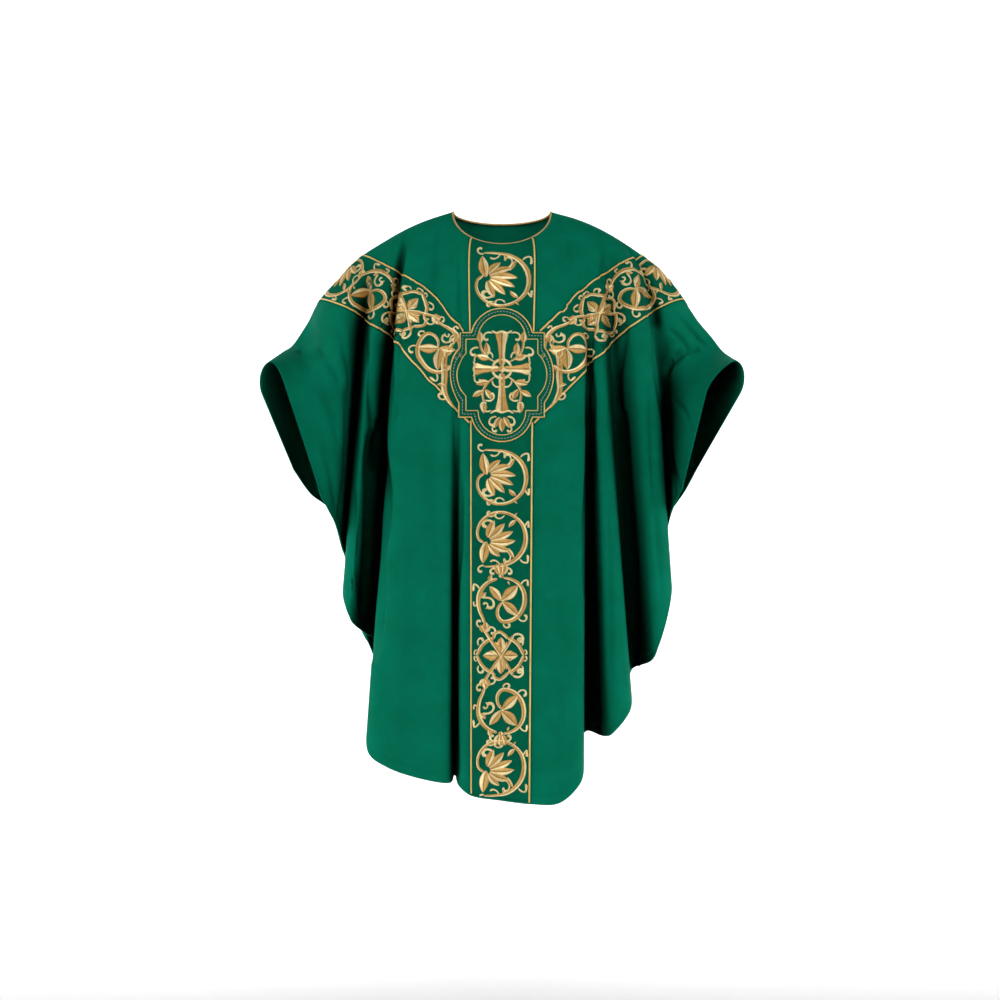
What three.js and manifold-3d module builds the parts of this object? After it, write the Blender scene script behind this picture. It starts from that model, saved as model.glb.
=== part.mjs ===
// A full-cut green chasuble with a gold Y-shaped orphrey, in the shape it takes when it is worn with the arms
// held out and the forearms raised. Millimetres, +Z up, the front faces -Y. The origin is on the shoulder line,
// in the middle of the neck opening, which is where the wearer's shoulders carry the cloth.
//
// Front and back are two walls of cloth that meet along the shoulder line, from the neck out to the wrists.
// Each wall hangs from that line: a column of cloth leaves it, comes over the shoulder or arm, passes a ring at
// chest level and falls to the hem. A table row gives one fold line: where it starts on the top edge, where it
// crosses the chest ring and where it ends at the hem. Smooth curves through the rows give the cloth between.
// The bands of the orphrey, their braids and the medallion lie on the walls and are cut from the walls' points.
import * as THREE from "three";
import { mergeVertices } from "three/addons/utils/BufferGeometryUtils.js";
import Module from "manifold-3d";

const manifold = await Module();
manifold.setup();

// Driving sizes
const CLOTH = 2; // wall of the body cloth
const SEAM_GAP = 0.4; // between the front and the back along the shoulder line
const LAYER_GAP = 0.3; // between a piece and the one that it lies on
const CHEST_Z = -400; // height of the chest ring
const NECK_HALF_WIDTH = 107;
const NECK_SEAT = 100; // the neck point's place on the top edge, in percent of the neckline's quarter
const NECK_SPREAD = Math.PI / 4; // how far the cloth turns outwards at the neck point
const SPREAD_FADE = 90; // mm of the shoulder line over which it turns back
const FRONT_NECK = { reach: 105, drop: 82 };
const BACK_NECK = { reach: 76, drop: 18 };
const BAND_WIDTH = 134; // pillar and arms of the orphrey
const BAND_CLOTH = 1;
const PILLAR_SEAT = 43; // the pillar's edges on the neckline
const BRAID_WIDTH = 6;
const BRAID_THICK = 1;
const BRAID_INSET = 1; // from the band's edge
const PIPING_RADIUS = 2.2;
const PIPING_GAP = 2.7;
const HEM_MARGIN = 0.004; // share of a column that the bands stop short of the hem
const WALK_STEP = 3;
const ARM_AXIS = { rise: 45, step: 28, reach: 720, bendFrom: 252, bendTo: 364, bend: 5.5 };
const ARM_START = { // height at which an arm's axis meets the centre line
  front: { right: -437, left: -437 },
  back: { right: -402, left: -401 },
};
const MEDALLION = { z: -359, halfBox: 90, endChord: 65, endRise: 51, sideChord: 60, sideRise: 19, thick: 1.2 };
const MEDALLION_LINE = { inset: 1, width: 4, thick: 0.8 };

// Rows and columns of the walls' grid
const UPPER_ROWS = 7;
const LOWER_ROWS = 3;
const WIDE_FOLD = 60; // mm of the top edge, from which the cloth between two fold lines takes a third column
const NECK_COLUMN = 16; // most percent of the neckline's quarter between two columns
const CHEST_SHARE = 0.28; // share of a column that lies above the chest ring

const COLOURS = { cloth: 0x04664a, band: 0x035c42, gold: 0xc9a24e };

// The shoulder line of each side with the arms held out, neck point to wrist: x outwards, y back, z up.
const RIGHT_SHOULDER = table("outX backY upZ", [
  [107, 0, 0],
  [158, 1, -16],
  [205, 2, -36],
  [255, 4, -64],
  [303, 7, -95],
  [350, 11, -142],
  [398, 13, -196],
  [420, 6, -244],
  [438, -24, -282],
  [456, -100, -306],
  [476, -200, -334],
]);
const LEFT_SHOULDER = table("outX backY upZ", [
  [107, 0, 0],
  [158, 1, -14],
  [205, 2, -33],
  [262, 5, -65],
  [326, 8, -111],
  [361, 12, -146],
  [389, 14, -182],
  [419, 10, -228],
  [441, -4, -260],
  [460, -50, -296],
  [474, -120, -318],
  [480, -200, -332],
]);

// How far the cloth reaches out level from the top edge before it falls.
const LEADS = table("out reach", [
  [0, 24],
  [60, 40],
  [100, 62],
  [300, 58],
  [480, 34],
  [766, 18],
]);

// Fold lines of the front, from the wearer's right wrist to the left one. seat is the place on the top edge:
// 0 at the centre front, 100 at the neck point, then 100 plus mm along the shoulder line.
const FRONT_FOLDS = table("seat chestX chestY hemX hemY hemZ", [
  [-766, -442, -184, -380, -140, -596],
  [-640, -416, -174, -374, -132, -616],
  [-520, -376, -166, -362, -118, -640],
  [-400, -332, -152, -350, -92, -668],
  [-330, -317, -92, -340, -50, -712],
  [-275, -310, -22, -332, 0, -762],
  [-250, -302, -84, -338, -62, -818],
  [-228, -286, -122, -320, -92, -868],
  [-212, -264, -104, -290, -28, -904],
  [-200, -238, -44, -262, 38, -930],
  [-190, -228, -142, -279, -152, -1142],
  [-145, -188, -148, -238, -172, -1172],
  [-100, -138, -149, -170, -168, -1196],
  [-72, -108, -149, -113, -166, -1206],
  [-62, -95, -147, -100, -66, -1202],
  [-54, -82, -150, -87, -166, -1214],
  [-43, -67, -151, -66, -172, -1230],
  [0, 0, -153, -3, -178, -1240],
  [43, 67, -151, 60, -174, -1248],
  [75, 118, -149, 118, -176, -1246],
  [122, 168, -148, 163, -163, -1206],
  [155, 181, -112, 178, 12, -1120],
  [180, 198, -140, 228, -136, -1108],
  [205, 214, -138, 268, -120, -1062],
  [222, 240, -68, 280, 18, -986],
  [245, 290, -128, 322, -84, -948],
  [263, 326, -118, 361, -62, -808],
  [285, 338, -36, 348, -6, -740],
  [480, 362, -66, 350, -48, -680],
  [620, 392, -124, 360, -92, -632],
  [766, 420, -180, 376, -128, -594],
]);

// Fold lines of the back, in the same order and columns.
const BACK_FOLDS = table("seat chestX chestY hemX hemY hemZ", [
  [-766, -500, -140, -442, -62, -556],
  [-640, -462, -76, -412, 4, -606],
  [-520, -418, 10, -372, 52, -644],
  [-400, -350, 22, -340, 24, -740],
  [-302, -306, 72, -322, 84, -862],
  [-239, -262, 44, -290, 24, -926],
  [-195, -228, 100, -262, 118, -1010],
  [-145, -184, 82, -214, 58, -1084],
  [-118, -150, 112, -180, 142, -1146],
  [-70, -98, 112, -112, 156, -1206],
  [-43, -67, 114, -68, 158, -1226],
  [0, 0, 118, 0, 164, -1240],
  [43, 67, 114, 66, 158, -1226],
  [66, 92, 110, 104, 154, -1206],
  [90, 120, 98, 138, 92, -1176],
  [122, 156, 112, 192, 140, -1106],
  [155, 194, 86, 228, 52, -1062],
  [192, 235, 100, 269, 104, -986],
  [233, 266, 56, 293, 30, -930],
  [285, 306, 76, 324, 78, -862],
  [350, 334, 40, 334, 38, -782],
  [526, 414, 14, 356, 48, -668],
  [668, 456, -82, 396, 6, -598],
  [766, 496, -138, 416, -48, -552],
]);

const UP = new THREE.Vector3(0, 0, 1);

// Gives the rows of a table the names of its columns.
function table(columns, rows) {
  const names = columns.split(" ");
  return rows.map((row) => Object.fromEntries(names.map((name, i) => [name, row[i]])));
}

// The same fold lines with the depth of the folds taken out, as a guide for bands that run across them.
function ironed(folds) {
  const mean = (i, key) => {
    const near = folds.slice(Math.max(0, i - 3), i + 4);
    return near.reduce((sum, f) => sum + f[key], 0) / near.length;
  };
  return folds.map((f, i) => ({ ...f, chestY: mean(i, "chestY"), hemY: mean(i, "hemY") }));
}

function smoothCurve(points) {
  return new THREE.CatmullRomCurve3(points, false, "centripetal");
}

// The shoulder line of one side as a curve by length, side 1 for +X and -1 for -X.
function shoulderCurve(side, line) {
  const curve = smoothCurve(line.map((p) => new THREE.Vector3(side * p.outX, p.backY, p.upZ)));
  curve.arcLengthDivisions = 400;
  return curve;
}
const SHOULDERS = { 1: shoulderCurve(1, LEFT_SHOULDER), "-1": shoulderCurve(-1, RIGHT_SHOULDER) };

function leadAt(seat) {
  const out = Math.abs(seat);
  const i = Math.max(0, Math.min(LEADS.length - 2, LEADS.findIndex((row) => row.out > out) - 1));
  const [a, b] = [LEADS[i], LEADS[i + 1]];
  return THREE.MathUtils.mapLinear(Math.min(out, b.out), a.out, b.out, a.reach, b.reach);
}

// A wall of cloth: its fold lines as curves, and which way its outside faces, front -1 and back +1 along Y.
function makeWall(name, folds, neck, facing) {
  return {
    name,
    folds,
    neck,
    facing,
    chest: smoothCurve(folds.map((f) => new THREE.Vector3(f.chestX, f.chestY, CHEST_Z))),
    hem: smoothCurve(folds.map((f) => new THREE.Vector3(f.hemX, f.hemY, f.hemZ))),
  };
}

// The share of a fold curve's length, 0 to 1, that belongs to a seat.
function shareOfSeat(wall, seat) {
  const seats = wall.folds.map((f) => f.seat);
  let i = seats.findIndex((s) => s > seat) - 1;
  if (i < 0) i = seat < seats[0] ? 0 : seats.length - 2;
  const within = (seat - seats[i]) / (seats[i + 1] - seats[i]);
  return THREE.MathUtils.clamp((i + within) / (seats.length - 1), 0, 1);
}

// The point of the top edge at a seat, and the level direction in which the wall leaves it. On the shoulder
// line both walls share one normal, so that they meet edge to edge.
function topEdge(wall, seat) {
  const side = seat < 0 ? -1 : 1;
  const out = Math.abs(seat);
  if (out < NECK_SEAT) {
    const angle = (out / NECK_SEAT) * (Math.PI / 2);
    const point = new THREE.Vector3(
      side * NECK_HALF_WIDTH * Math.sin(angle),
      wall.facing * (wall.neck.reach * Math.cos(angle) + SEAM_GAP / 2),
      -wall.neck.drop * Math.cos(angle),
    );
    const spread = (NECK_SPREAD * out) / NECK_SEAT;
    const away = new THREE.Vector3(side * Math.sin(spread), wall.facing * Math.cos(spread), 0);
    return { point, away, seamNormal: null };
  }
  const curve = SHOULDERS[side];
  const t = THREE.MathUtils.clamp((out - NECK_SEAT) / curve.getLength(), 0, 1);
  const tangent = curve.getTangentAt(t);
  const square = new THREE.Vector3(-tangent.y, tangent.x, 0).multiplyScalar(side * wall.facing).normalize();
  const spread = NECK_SPREAD * Math.max(0, 1 - (out - NECK_SEAT) / SPREAD_FADE) ** 2;
  const away = square.clone().applyAxisAngle(UP, -side * wall.facing * spread);
  const point = curve.getPointAt(t).addScaledVector(square, SEAM_GAP / 2);
  const seamNormal = UP.clone().addScaledVector(tangent, -tangent.z).normalize();
  return { point, away, seamNormal };
}

// A point of a wall's outside: seat along the top edge, v from 0 at the top edge to 1 at the hem.
function pointOn(wall, seat, v) {
  const share = shareOfSeat(wall, seat);
  const chest = wall.chest.getPoint(share);
  const hem = wall.hem.getPoint(share);
  if (v >= CHEST_SHARE) return chest.lerp(hem, (v - CHEST_SHARE) / (1 - CHEST_SHARE));
  const { point: top, away } = topEdge(wall, seat);
  const fall = top.z - chest.z;
  const lead = top.clone().addScaledVector(away, leadAt(seat)).addScaledVector(UP, -0.04 * fall);
  const below = hem.clone().sub(chest);
  const arrive = chest.clone().addScaledVector(below, (-0.45 * fall) / -below.z);
  return new THREE.CubicBezierCurve3(top, lead, arrive, chest).getPoint(v / CHEST_SHARE);
}

// Seats of the grid's columns. Past the neck points both walls take the front's, so that their edges match.
function columnSeats(wall) {
  const columns = (folds, count) =>
    folds.slice(1).flatMap((fold, i) => {
      const from = folds[i].seat;
      const n = count(fold.seat - from);
      return Array.from({ length: n }, (_, k) => THREE.MathUtils.lerp(from, fold.seat, k / n));
    });
  const shared = [...columns(FRONT_FOLDS, (width) => (width > WIDE_FOLD ? 3 : 2)), FRONT_FOLDS.at(-1).seat];
  const own = columns(wall.folds, (width) => Math.max(2, Math.ceil(width / NECK_COLUMN)));
  return [
    ...shared.filter((seat) => seat < -NECK_SEAT - 1),
    -NECK_SEAT,
    ...own.filter((seat) => Math.abs(seat) < NECK_SEAT - 4),
    NECK_SEAT,
    ...shared.filter((seat) => seat > NECK_SEAT + 1),
  ];
}

function rowShares() {
  const upper = Array.from({ length: UPPER_ROWS }, (_, i) => (i / UPPER_ROWS) * CHEST_SHARE);
  const lower = Array.from({ length: LOWER_ROWS + 1 }, (_, i) => CHEST_SHARE + (i / LOWER_ROWS) * (1 - CHEST_SHARE));
  return [...upper, ...lower];
}

// The wall's grid of outside points and normals, as rows of columns.
function makeGrid(wall) {
  const seats = columnSeats(wall);
  const shares = rowShares();
  const points = shares.map((v) => seats.map((seat) => pointOn(wall, seat, v)));
  const normals = points.map((row, j) =>
    row.map((_, i) => {
      const seam = j === 0 ? topEdge(wall, seats[i]).seamNormal : null;
      if (seam) return seam;
      const across = row[Math.min(i + 1, row.length - 1)].clone().sub(row[Math.max(i - 1, 0)]);
      const down = points[Math.min(j + 1, points.length - 1)][i].clone().sub(points[Math.max(j - 1, 0)][i]);
      return across.cross(down).multiplyScalar(wall.facing).normalize();
    }),
  );
  return { wall, seats, shares, points, normals };
}

// A closed solid between two copies of a patch of triangles, moved along its normals to low and high.
// Every corner is { point, normal }, and the triangles name corners by index, anticlockwise from outside.
function shell(corners, triangles, low, high) {
  const moved = (by) => corners.map((c) => c.point.clone().addScaledVector(c.normal, by));
  const positions = [...moved(high), ...moved(low)].flatMap((p) => p.toArray());
  const under = corners.length;
  const index = [];
  const edges = new Map();
  for (const [a, b, c] of triangles) {
    index.push(a, b, c, under + a, under + c, under + b);
    for (const [from, to] of [[a, b], [b, c], [c, a]]) {
      if (!edges.delete(`${to},${from}`)) edges.set(`${from},${to}`, [from, to]);
    }
  }
  for (const [from, to] of edges.values()) {
    index.push(from, under + from, to, to, under + from, under + to);
  }
  const geometry = new THREE.BufferGeometry();
  geometry.setAttribute("position", new THREE.Float32BufferAttribute(positions, 3));
  geometry.setIndex(index);
  return mergeVertices(geometry, 1e-3);
}

// The two triangles of each grid cell, as corners [column, row], anticlockwise from outside. The cells are
// split across the run of the orphrey's arms, so the split is turned over at the centre.
function gridTriangles(grid) {
  const triangles = [];
  for (let j = 0; j + 1 < grid.shares.length; j++) {
    for (let i = 0; i + 1 < grid.seats.length; i++) {
      const [a, b, c, d] = [[i, j], [i + 1, j], [i + 1, j + 1], [i, j + 1]];
      const pair = grid.seats[i] < 0 ? [[a, b, d], [b, c, d]] : [[a, b, c], [a, c, d]];
      for (const t of pair) triangles.push(grid.wall.facing < 0 ? [t[0], t[2], t[1]] : t);
    }
  }
  return triangles;
}

function wallGeometry(grid) {
  const columns = grid.seats.length;
  const corners = grid.points.flatMap((row, j) => row.map((point, i) => ({ point, normal: grid.normals[j][i] })));
  const triangles = gridTriangles(grid).map((t) => t.map(([i, j]) => j * columns + i));
  return shell(corners, triangles, -CLOTH, 0);
}

// The part of a polygon that lies in a triangle, both in [column, row] places.
function clipToTriangle(polygon, triangle) {
  const cross = (a, b, p) => (b[0] - a[0]) * (p[1] - a[1]) - (b[1] - a[1]) * (p[0] - a[0]);
  const turn = Math.sign(cross(triangle[0], triangle[1], triangle[2]));
  let kept = polygon;
  for (let k = 0; k < 3 && kept.length; k++) {
    const a = triangle[k];
    const b = triangle[(k + 1) % 3];
    const next = [];
    kept.forEach((p, n) => {
      const q = kept[(n + 1) % kept.length];
      const dp = turn * cross(a, b, p);
      const dq = turn * cross(a, b, q);
      if (dp >= 0) next.push(p);
      if (dp >= 0 !== dq >= 0) {
        const t = dp / (dp - dq);
        next.push([p[0] + (q[0] - p[0]) * t, p[1] + (q[1] - p[1]) * t]);
      }
    });
    kept = next;
  }
  return withoutSpikes(kept);
}

// Takes out the corners at which a polygon turns straight back on itself.
function withoutSpikes(polygon) {
  for (let n = 0; n < polygon.length; n++) {
    const before = polygon[(n + polygon.length - 1) % polygon.length];
    const [x, y] = polygon[n];
    const after = polygon[(n + 1) % polygon.length];
    const arrive = [x - before[0], y - before[1]];
    const leave = [after[0] - x, after[1] - y];
    const turn = arrive[0] * leave[1] - arrive[1] * leave[0];
    const ahead = arrive[0] * leave[0] + arrive[1] * leave[1];
    if (Math.abs(turn) < 1e-9 && ahead <= 1e-12) {
      return withoutSpikes(polygon.filter((_, k) => k !== n));
    }
  }
  return polygon;
}

// The facet point and normal of a place [column, row] inside one grid triangle.
function placeInTriangle(grid, triangle, [x, y]) {
  const [[x0, y0], [x1, y1], [x2, y2]] = triangle;
  const whole = (x1 - x0) * (y2 - y0) - (x2 - x0) * (y1 - y0);
  const w1 = ((x - x0) * (y2 - y0) - (x2 - x0) * (y - y0)) / whole;
  const w2 = ((x1 - x0) * (y - y0) - (x - x0) * (y1 - y0)) / whole;
  const weights = [1 - w1 - w2, w1, w2];
  const mix = (rows) =>
    triangle.reduce((sum, [i, j], n) => sum.addScaledVector(rows[j][i], weights[n]), new THREE.Vector3());
  return { point: mix(grid.points), normal: mix(grid.normals).normalize() };
}

// A piece that lies on a wall: outline is a polygon in [column, row] places, low and high its heights.
function pieceOn(grid, outline, low, high) {
  const corners = [];
  const known = new Map();
  const triangles = [];
  const xs = outline.map((p) => p[0]);
  const ys = outline.map((p) => p[1]);
  const box = [Math.min(...xs), Math.max(...xs), Math.min(...ys), Math.max(...ys)];
  for (const triangle of gridTriangles(grid)) {
    const i = Math.min(...triangle.map((c) => c[0]));
    const j = Math.min(...triangle.map((c) => c[1]));
    if (i + 1 < box[0] || i > box[1] || j + 1 < box[2] || j > box[3]) continue;
    const places = clipToTriangle(outline, triangle);
    if (places.length < 3) continue;
    const ids = places.map((place) => {
      const key = place.map((n) => Math.round(n * 2e4)).join();
      if (!known.has(key)) {
        known.set(key, corners.length);
        corners.push(placeInTriangle(grid, triangle, place));
      }
      return known.get(key);
    });
    const ring = ids.filter((id, n) => id !== ids[(n + 1) % ids.length]);
    if (ring.length < 3) continue;
    const flat = ids.map((id, n) => ({ id, place: places[n] })).filter((c, n, all) => c.id !== all[(n + 1) % all.length].id);
    const contour = flat.map((c) => new THREE.Vector2(...c.place));
    for (const face of THREE.ShapeUtils.triangulateShape(contour, [])) {
      const [a, b, c] = face.map((n) => contour[n]);
      const area = (b.x - a.x) * (c.y - a.y) - (b.y - a.y) * (c.x - a.x);
      if (Math.abs(area) < 1e-9) continue;
      const named = face.map((n) => flat[n].id);
      const outward = grid.wall.facing < 0 ? area < 0 : area > 0;
      triangles.push(outward ? named : [named[0], named[2], named[1]]);
    }
  }
  return shell(corners, triangles, low, high);
}

// Turns a place (seat, v) into the grid's [column, row] numbers.
function gridPlace(grid, { seat, v }) {
  const within = (values, x) => {
    let i = values.findIndex((n) => n > x) - 1;
    if (i < 0) i = x < values[0] ? 0 : values.length - 2;
    return i + (x - values[i]) / (values[i + 1] - values[i]);
  };
  return [within(grid.seats, seat), within(grid.shares, v)];
}

// How a wall's point moves with its seat and with v.
function slopes(wall, { seat, v }) {
  const ds = 0.5;
  const dv = 0.002;
  const at = pointOn(wall, seat, v);
  const alongSeat = pointOn(wall, seat + ds, v).sub(at).divideScalar(ds);
  const alongV = pointOn(wall, seat, v + dv).sub(at).divideScalar(dv);
  return { at, alongSeat, alongV };
}

// The change of (seat, v) that moves a wall's point by a small step in its own plane.
function stepPlace(wall, place, step) {
  const { alongSeat, alongV } = slopes(wall, place);
  const a = alongSeat.dot(alongSeat);
  const b = alongSeat.dot(alongV);
  const c = alongV.dot(alongV);
  const p = alongSeat.dot(step);
  const q = alongV.dot(step);
  const whole = a * c - b * b;
  return { seat: place.seat + (p * c - q * b) / whole, v: place.v + (q * a - p * b) / whole };
}

// The place on a wall that shows at x, z from the front or back.
function placeAt(wall, x, z) {
  let place = { seat: (x / BAND_WIDTH) * 2 * PILLAR_SEAT, v: (z / CHEST_Z) * CHEST_SHARE };
  for (let i = 0; i < 30; i++) {
    const at = pointOn(wall, place.seat, place.v);
    place = stepPlace(wall, place, new THREE.Vector3(x - at.x, 0, z - at.z).multiplyScalar(0.7));
  }
  return place;
}

// Walks over a wall from a place, in small steps.
function walk(wall, place, direction, length) {
  const steps = Math.max(1, Math.ceil(length / WALK_STEP));
  const step = direction.clone().multiplyScalar(length / steps);
  let at = place;
  for (let k = 0; k < steps; k++) at = stepPlace(wall, at, step);
  return at;
}

// Lays a tape on a wall from a place, until it has left the wall over the shoulder line or gone its reach.
// Gives, for the right (0) and the left (1) of the tape, one line of places for each distance from its axis.
function layTape(wall, start, direction, distances) {
  const lines = [distances.map(() => []), distances.map(() => [])];
  let place = start;
  const heading = direction.clone();
  const bend = Math.sign(direction.x) * THREE.MathUtils.degToRad(ARM_AXIS.bend);
  for (let gone = 0; gone <= ARM_AXIS.reach; gone += ARM_AXIS.step) {
    const { alongSeat, alongV } = slopes(wall, place);
    const normal = alongSeat.clone().cross(alongV).normalize();
    heading.addScaledVector(normal, -heading.dot(normal)).normalize();
    if (gone >= ARM_AXIS.bendFrom && gone < ARM_AXIS.bendTo) heading.applyAxisAngle(normal, bend);
    const across = normal.clone().cross(heading);
    [-1, 1].forEach((side, n) => {
      let edge = place;
      let before = 0;
      distances.forEach((distance, k) => {
        edge = walk(wall, edge, across.clone().multiplyScalar(side), distance - before);
        before = distance;
        lines[n][k].push(edge);
      });
    });
    if (lines.flat().every((line) => line.at(-1).v < -0.01)) break;
    place = walk(wall, place, heading, ARM_AXIS.step);
  }
  return lines;
}

// The part of a ring of places on one side of a line of equal seat, side 1 for the higher seats.
function keepBeyond(ring, seat, side) {
  const inside = (p) => side * (p.seat - seat) >= 0;
  const kept = [];
  ring.forEach((p, n) => {
    const q = ring[(n + 1) % ring.length];
    if (inside(p)) kept.push(p);
    if (inside(p) !== inside(q)) {
      const t = (seat - p.seat) / (q.seat - p.seat);
      kept.push({ seat, v: p.v + (q.v - p.v) * t });
    }
  });
  return kept;
}

// Cuts the start off a line of places, up to where it leaves a closed outline of x, z points on the wall.
function cutStart(wall, line, outline) {
  const inside = (place) => {
    const at = pointOn(wall, place.seat, place.v);
    let odd = false;
    outline.forEach((p, n) => {
      const q = outline[(n + 1) % outline.length];
      if (p.y > at.z !== q.y > at.z && at.x < p.x + ((at.z - p.y) / (q.y - p.y)) * (q.x - p.x)) odd = !odd;
    });
    return odd;
  };
  let first = line.length - 1;
  while (first > 0 && !inside(line[first - 1])) first--;
  if (first === 0) return line;
  let [low, high] = [line[first - 1], line[first]];
  for (let k = 0; k < 20; k++) {
    const middle = { seat: (low.seat + high.seat) / 2, v: (low.v + high.v) / 2 };
    if (inside(middle)) low = middle;
    else high = middle;
  }
  return [high, ...line.slice(first)];
}

const ringOf = (first, second) => [...first, ...second.slice().reverse()];
const laidOn = (grid, ring, low, high) => pieceOn(grid, ring.map((place) => gridPlace(grid, place)), low, high);

// The medallion's outline, a square with a lobe on each side, made smaller by an inset.
function medallionOutline(inset) {
  const half = MEDALLION.halfBox - inset;
  const points = [];
  for (let side = 0; side < 4; side++) {
    const rise = side % 2 ? MEDALLION.sideRise : MEDALLION.endRise;
    const chord = (side % 2 ? MEDALLION.sideChord : MEDALLION.endChord) - inset;
    const radius = (chord * chord + rise * rise) / (2 * rise);
    const open = Math.atan2(chord, radius - rise);
    const turn = new THREE.Vector2(0, 0);
    const put = (x, y) => points.push(new THREE.Vector2(x, y).rotateAround(turn, (-side * Math.PI) / 2));
    put(-half, half);
    put((-half - chord) / 2, half);
    for (let k = 0; k <= 6; k++) {
      const a = -open + (2 * open * k) / 6;
      put(radius * Math.sin(a), half + rise - radius + radius * Math.cos(a));
    }
    put((half + chord) / 2, half);
  }
  return points.map((p) => new THREE.Vector2(p.x, p.y + MEDALLION.z));
}

// A cut of one closed geometry by another.
function cut(geometry, tool) {
  const solid = (g) =>
    new manifold.Manifold(
      new manifold.Mesh({
        numProp: 3,
        vertProperties: g.getAttribute("position").array,
        triVerts: new Uint32Array(g.index.array),
      }),
    );
  const mesh = solid(geometry).subtract(solid(tool)).simplify(0.05).getMesh();
  const made = new THREE.BufferGeometry();
  made.setAttribute("position", new THREE.BufferAttribute(mesh.vertProperties, 3));
  made.setIndex(new THREE.BufferAttribute(mesh.triVerts, 1));
  return made;
}

const material = (colour) => new THREE.MeshStandardMaterial({ color: colour, roughness: 0.6, metalness: 0 });
const CLOTH_MATERIAL = material(COLOURS.cloth);
const BAND_MATERIAL = material(COLOURS.band);
const GOLD_MATERIAL = material(COLOURS.gold);

const chasuble = new THREE.Group();
function add(name, geometry, look) {
  const mesh = new THREE.Mesh(geometry, look);
  mesh.name = name;
  chasuble.add(mesh);
}

// Heights over the wall's outside
const BAND_LOW = LAYER_GAP;
const BAND_HIGH = BAND_LOW + BAND_CLOTH;
const BRAID_LOW = BAND_HIGH + LAYER_GAP;
const BRAID_HIGH = BRAID_LOW + BRAID_THICK;
const MEDALLION_LOW = BRAID_LOW;
const MEDALLION_HIGH = MEDALLION_LOW + MEDALLION.thick;

// The walls of cloth.
const front = makeGrid(makeWall("front", FRONT_FOLDS, FRONT_NECK, -1));
const back = makeGrid(makeWall("back", BACK_FOLDS, BACK_NECK, 1));
const ironedFront = makeWall("front", ironed(FRONT_FOLDS), FRONT_NECK, -1);
const ironedBack = makeWall("back", ironed(BACK_FOLDS), BACK_NECK, 1);
add("front_panel", wallGeometry(front), CLOTH_MATERIAL);
add("back_panel", wallGeometry(back), CLOTH_MATERIAL);

// The piping round the neck opening, on the raw edge of both walls.
function neckPlace(grid, seat) {
  const i = grid.seats.indexOf(seat);
  const up = grid.points[0][i].clone().sub(grid.points[1][i]).normalize();
  return { edge: grid.points[0][i].clone().addScaledVector(grid.normals[0][i], -CLOTH / 2), up };
}
function neckRing() {
  const ring = [];
  for (const grid of [front, back]) {
    const seats = grid.seats.filter((seat) => Math.abs(seat) <= NECK_SEAT);
    if (grid === back) seats.reverse();
    for (const seat of seats.slice(0, -1)) {
      const { edge, up } = neckPlace(grid, seat);
      if (Math.abs(seat) === NECK_SEAT) up.add(neckPlace(grid === front ? back : front, seat).up).normalize();
      ring.push(edge.addScaledVector(up, PIPING_RADIUS + PIPING_GAP));
    }
  }
  return new THREE.CatmullRomCurve3(ring, true, "centripetal");
}
const neckTube = new THREE.TubeGeometry(neckRing(), 48, PIPING_RADIUS, 6, true);
neckTube.deleteAttribute("normal");
neckTube.deleteAttribute("uv");
add("neck_piping", mergeVertices(neckTube), GOLD_MATERIAL);

// The pillars of the orphrey, from the neckline to the hem, with a braid down each edge.
const braidSeats = (side) =>
  [BRAID_INSET, BRAID_INSET + BRAID_WIDTH].map((mm) => side * PILLAR_SEAT * (1 - (2 * mm) / BAND_WIDTH));
const upright = (seatA, seatB, top, bottom) => [
  { seat: seatA, v: top },
  { seat: seatB, v: top },
  { seat: seatB, v: bottom },
  { seat: seatA, v: bottom },
];
const PILLAR_TOP = HEM_MARGIN;
const PILLAR_END = 1 - HEM_MARGIN;
for (const grid of [front, back]) {
  const ring = upright(-PILLAR_SEAT, PILLAR_SEAT, PILLAR_TOP, PILLAR_END);
  add(`orphrey_pillar_${grid.wall.name}`, laidOn(grid, ring, BAND_LOW, BAND_HIGH), BAND_MATERIAL);
}
const medallionEdge = medallionOutline(-2 * LAYER_GAP);
for (const [label, side] of [["right", -1], ["left", 1]]) {
  const [outer, inner] = braidSeats(side);
  for (const [part, end] of [["upper", PILLAR_TOP], ["lower", PILLAR_END]]) {
    const lines = [outer, inner].map((seat) => {
      const middle = placeAt(front.wall, 0, MEDALLION.z).v;
      const line = Array.from({ length: 13 }, (_, k) => ({ seat, v: THREE.MathUtils.lerp(middle, end, k / 12) }));
      const [first, ...rest] = cutStart(front.wall, line, medallionEdge);
      return [first, rest.at(-1)];
    });
    add(`braid_pillar_front_${part}_${label}`, laidOn(front, ringOf(...lines), BRAID_LOW, BRAID_HIGH), GOLD_MATERIAL);
  }
  const whole = upright(outer, inner, PILLAR_TOP, PILLAR_END);
  add(`braid_pillar_back_${label}`, laidOn(back, whole, BRAID_LOW, BRAID_HIGH), GOLD_MATERIAL);
}

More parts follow.
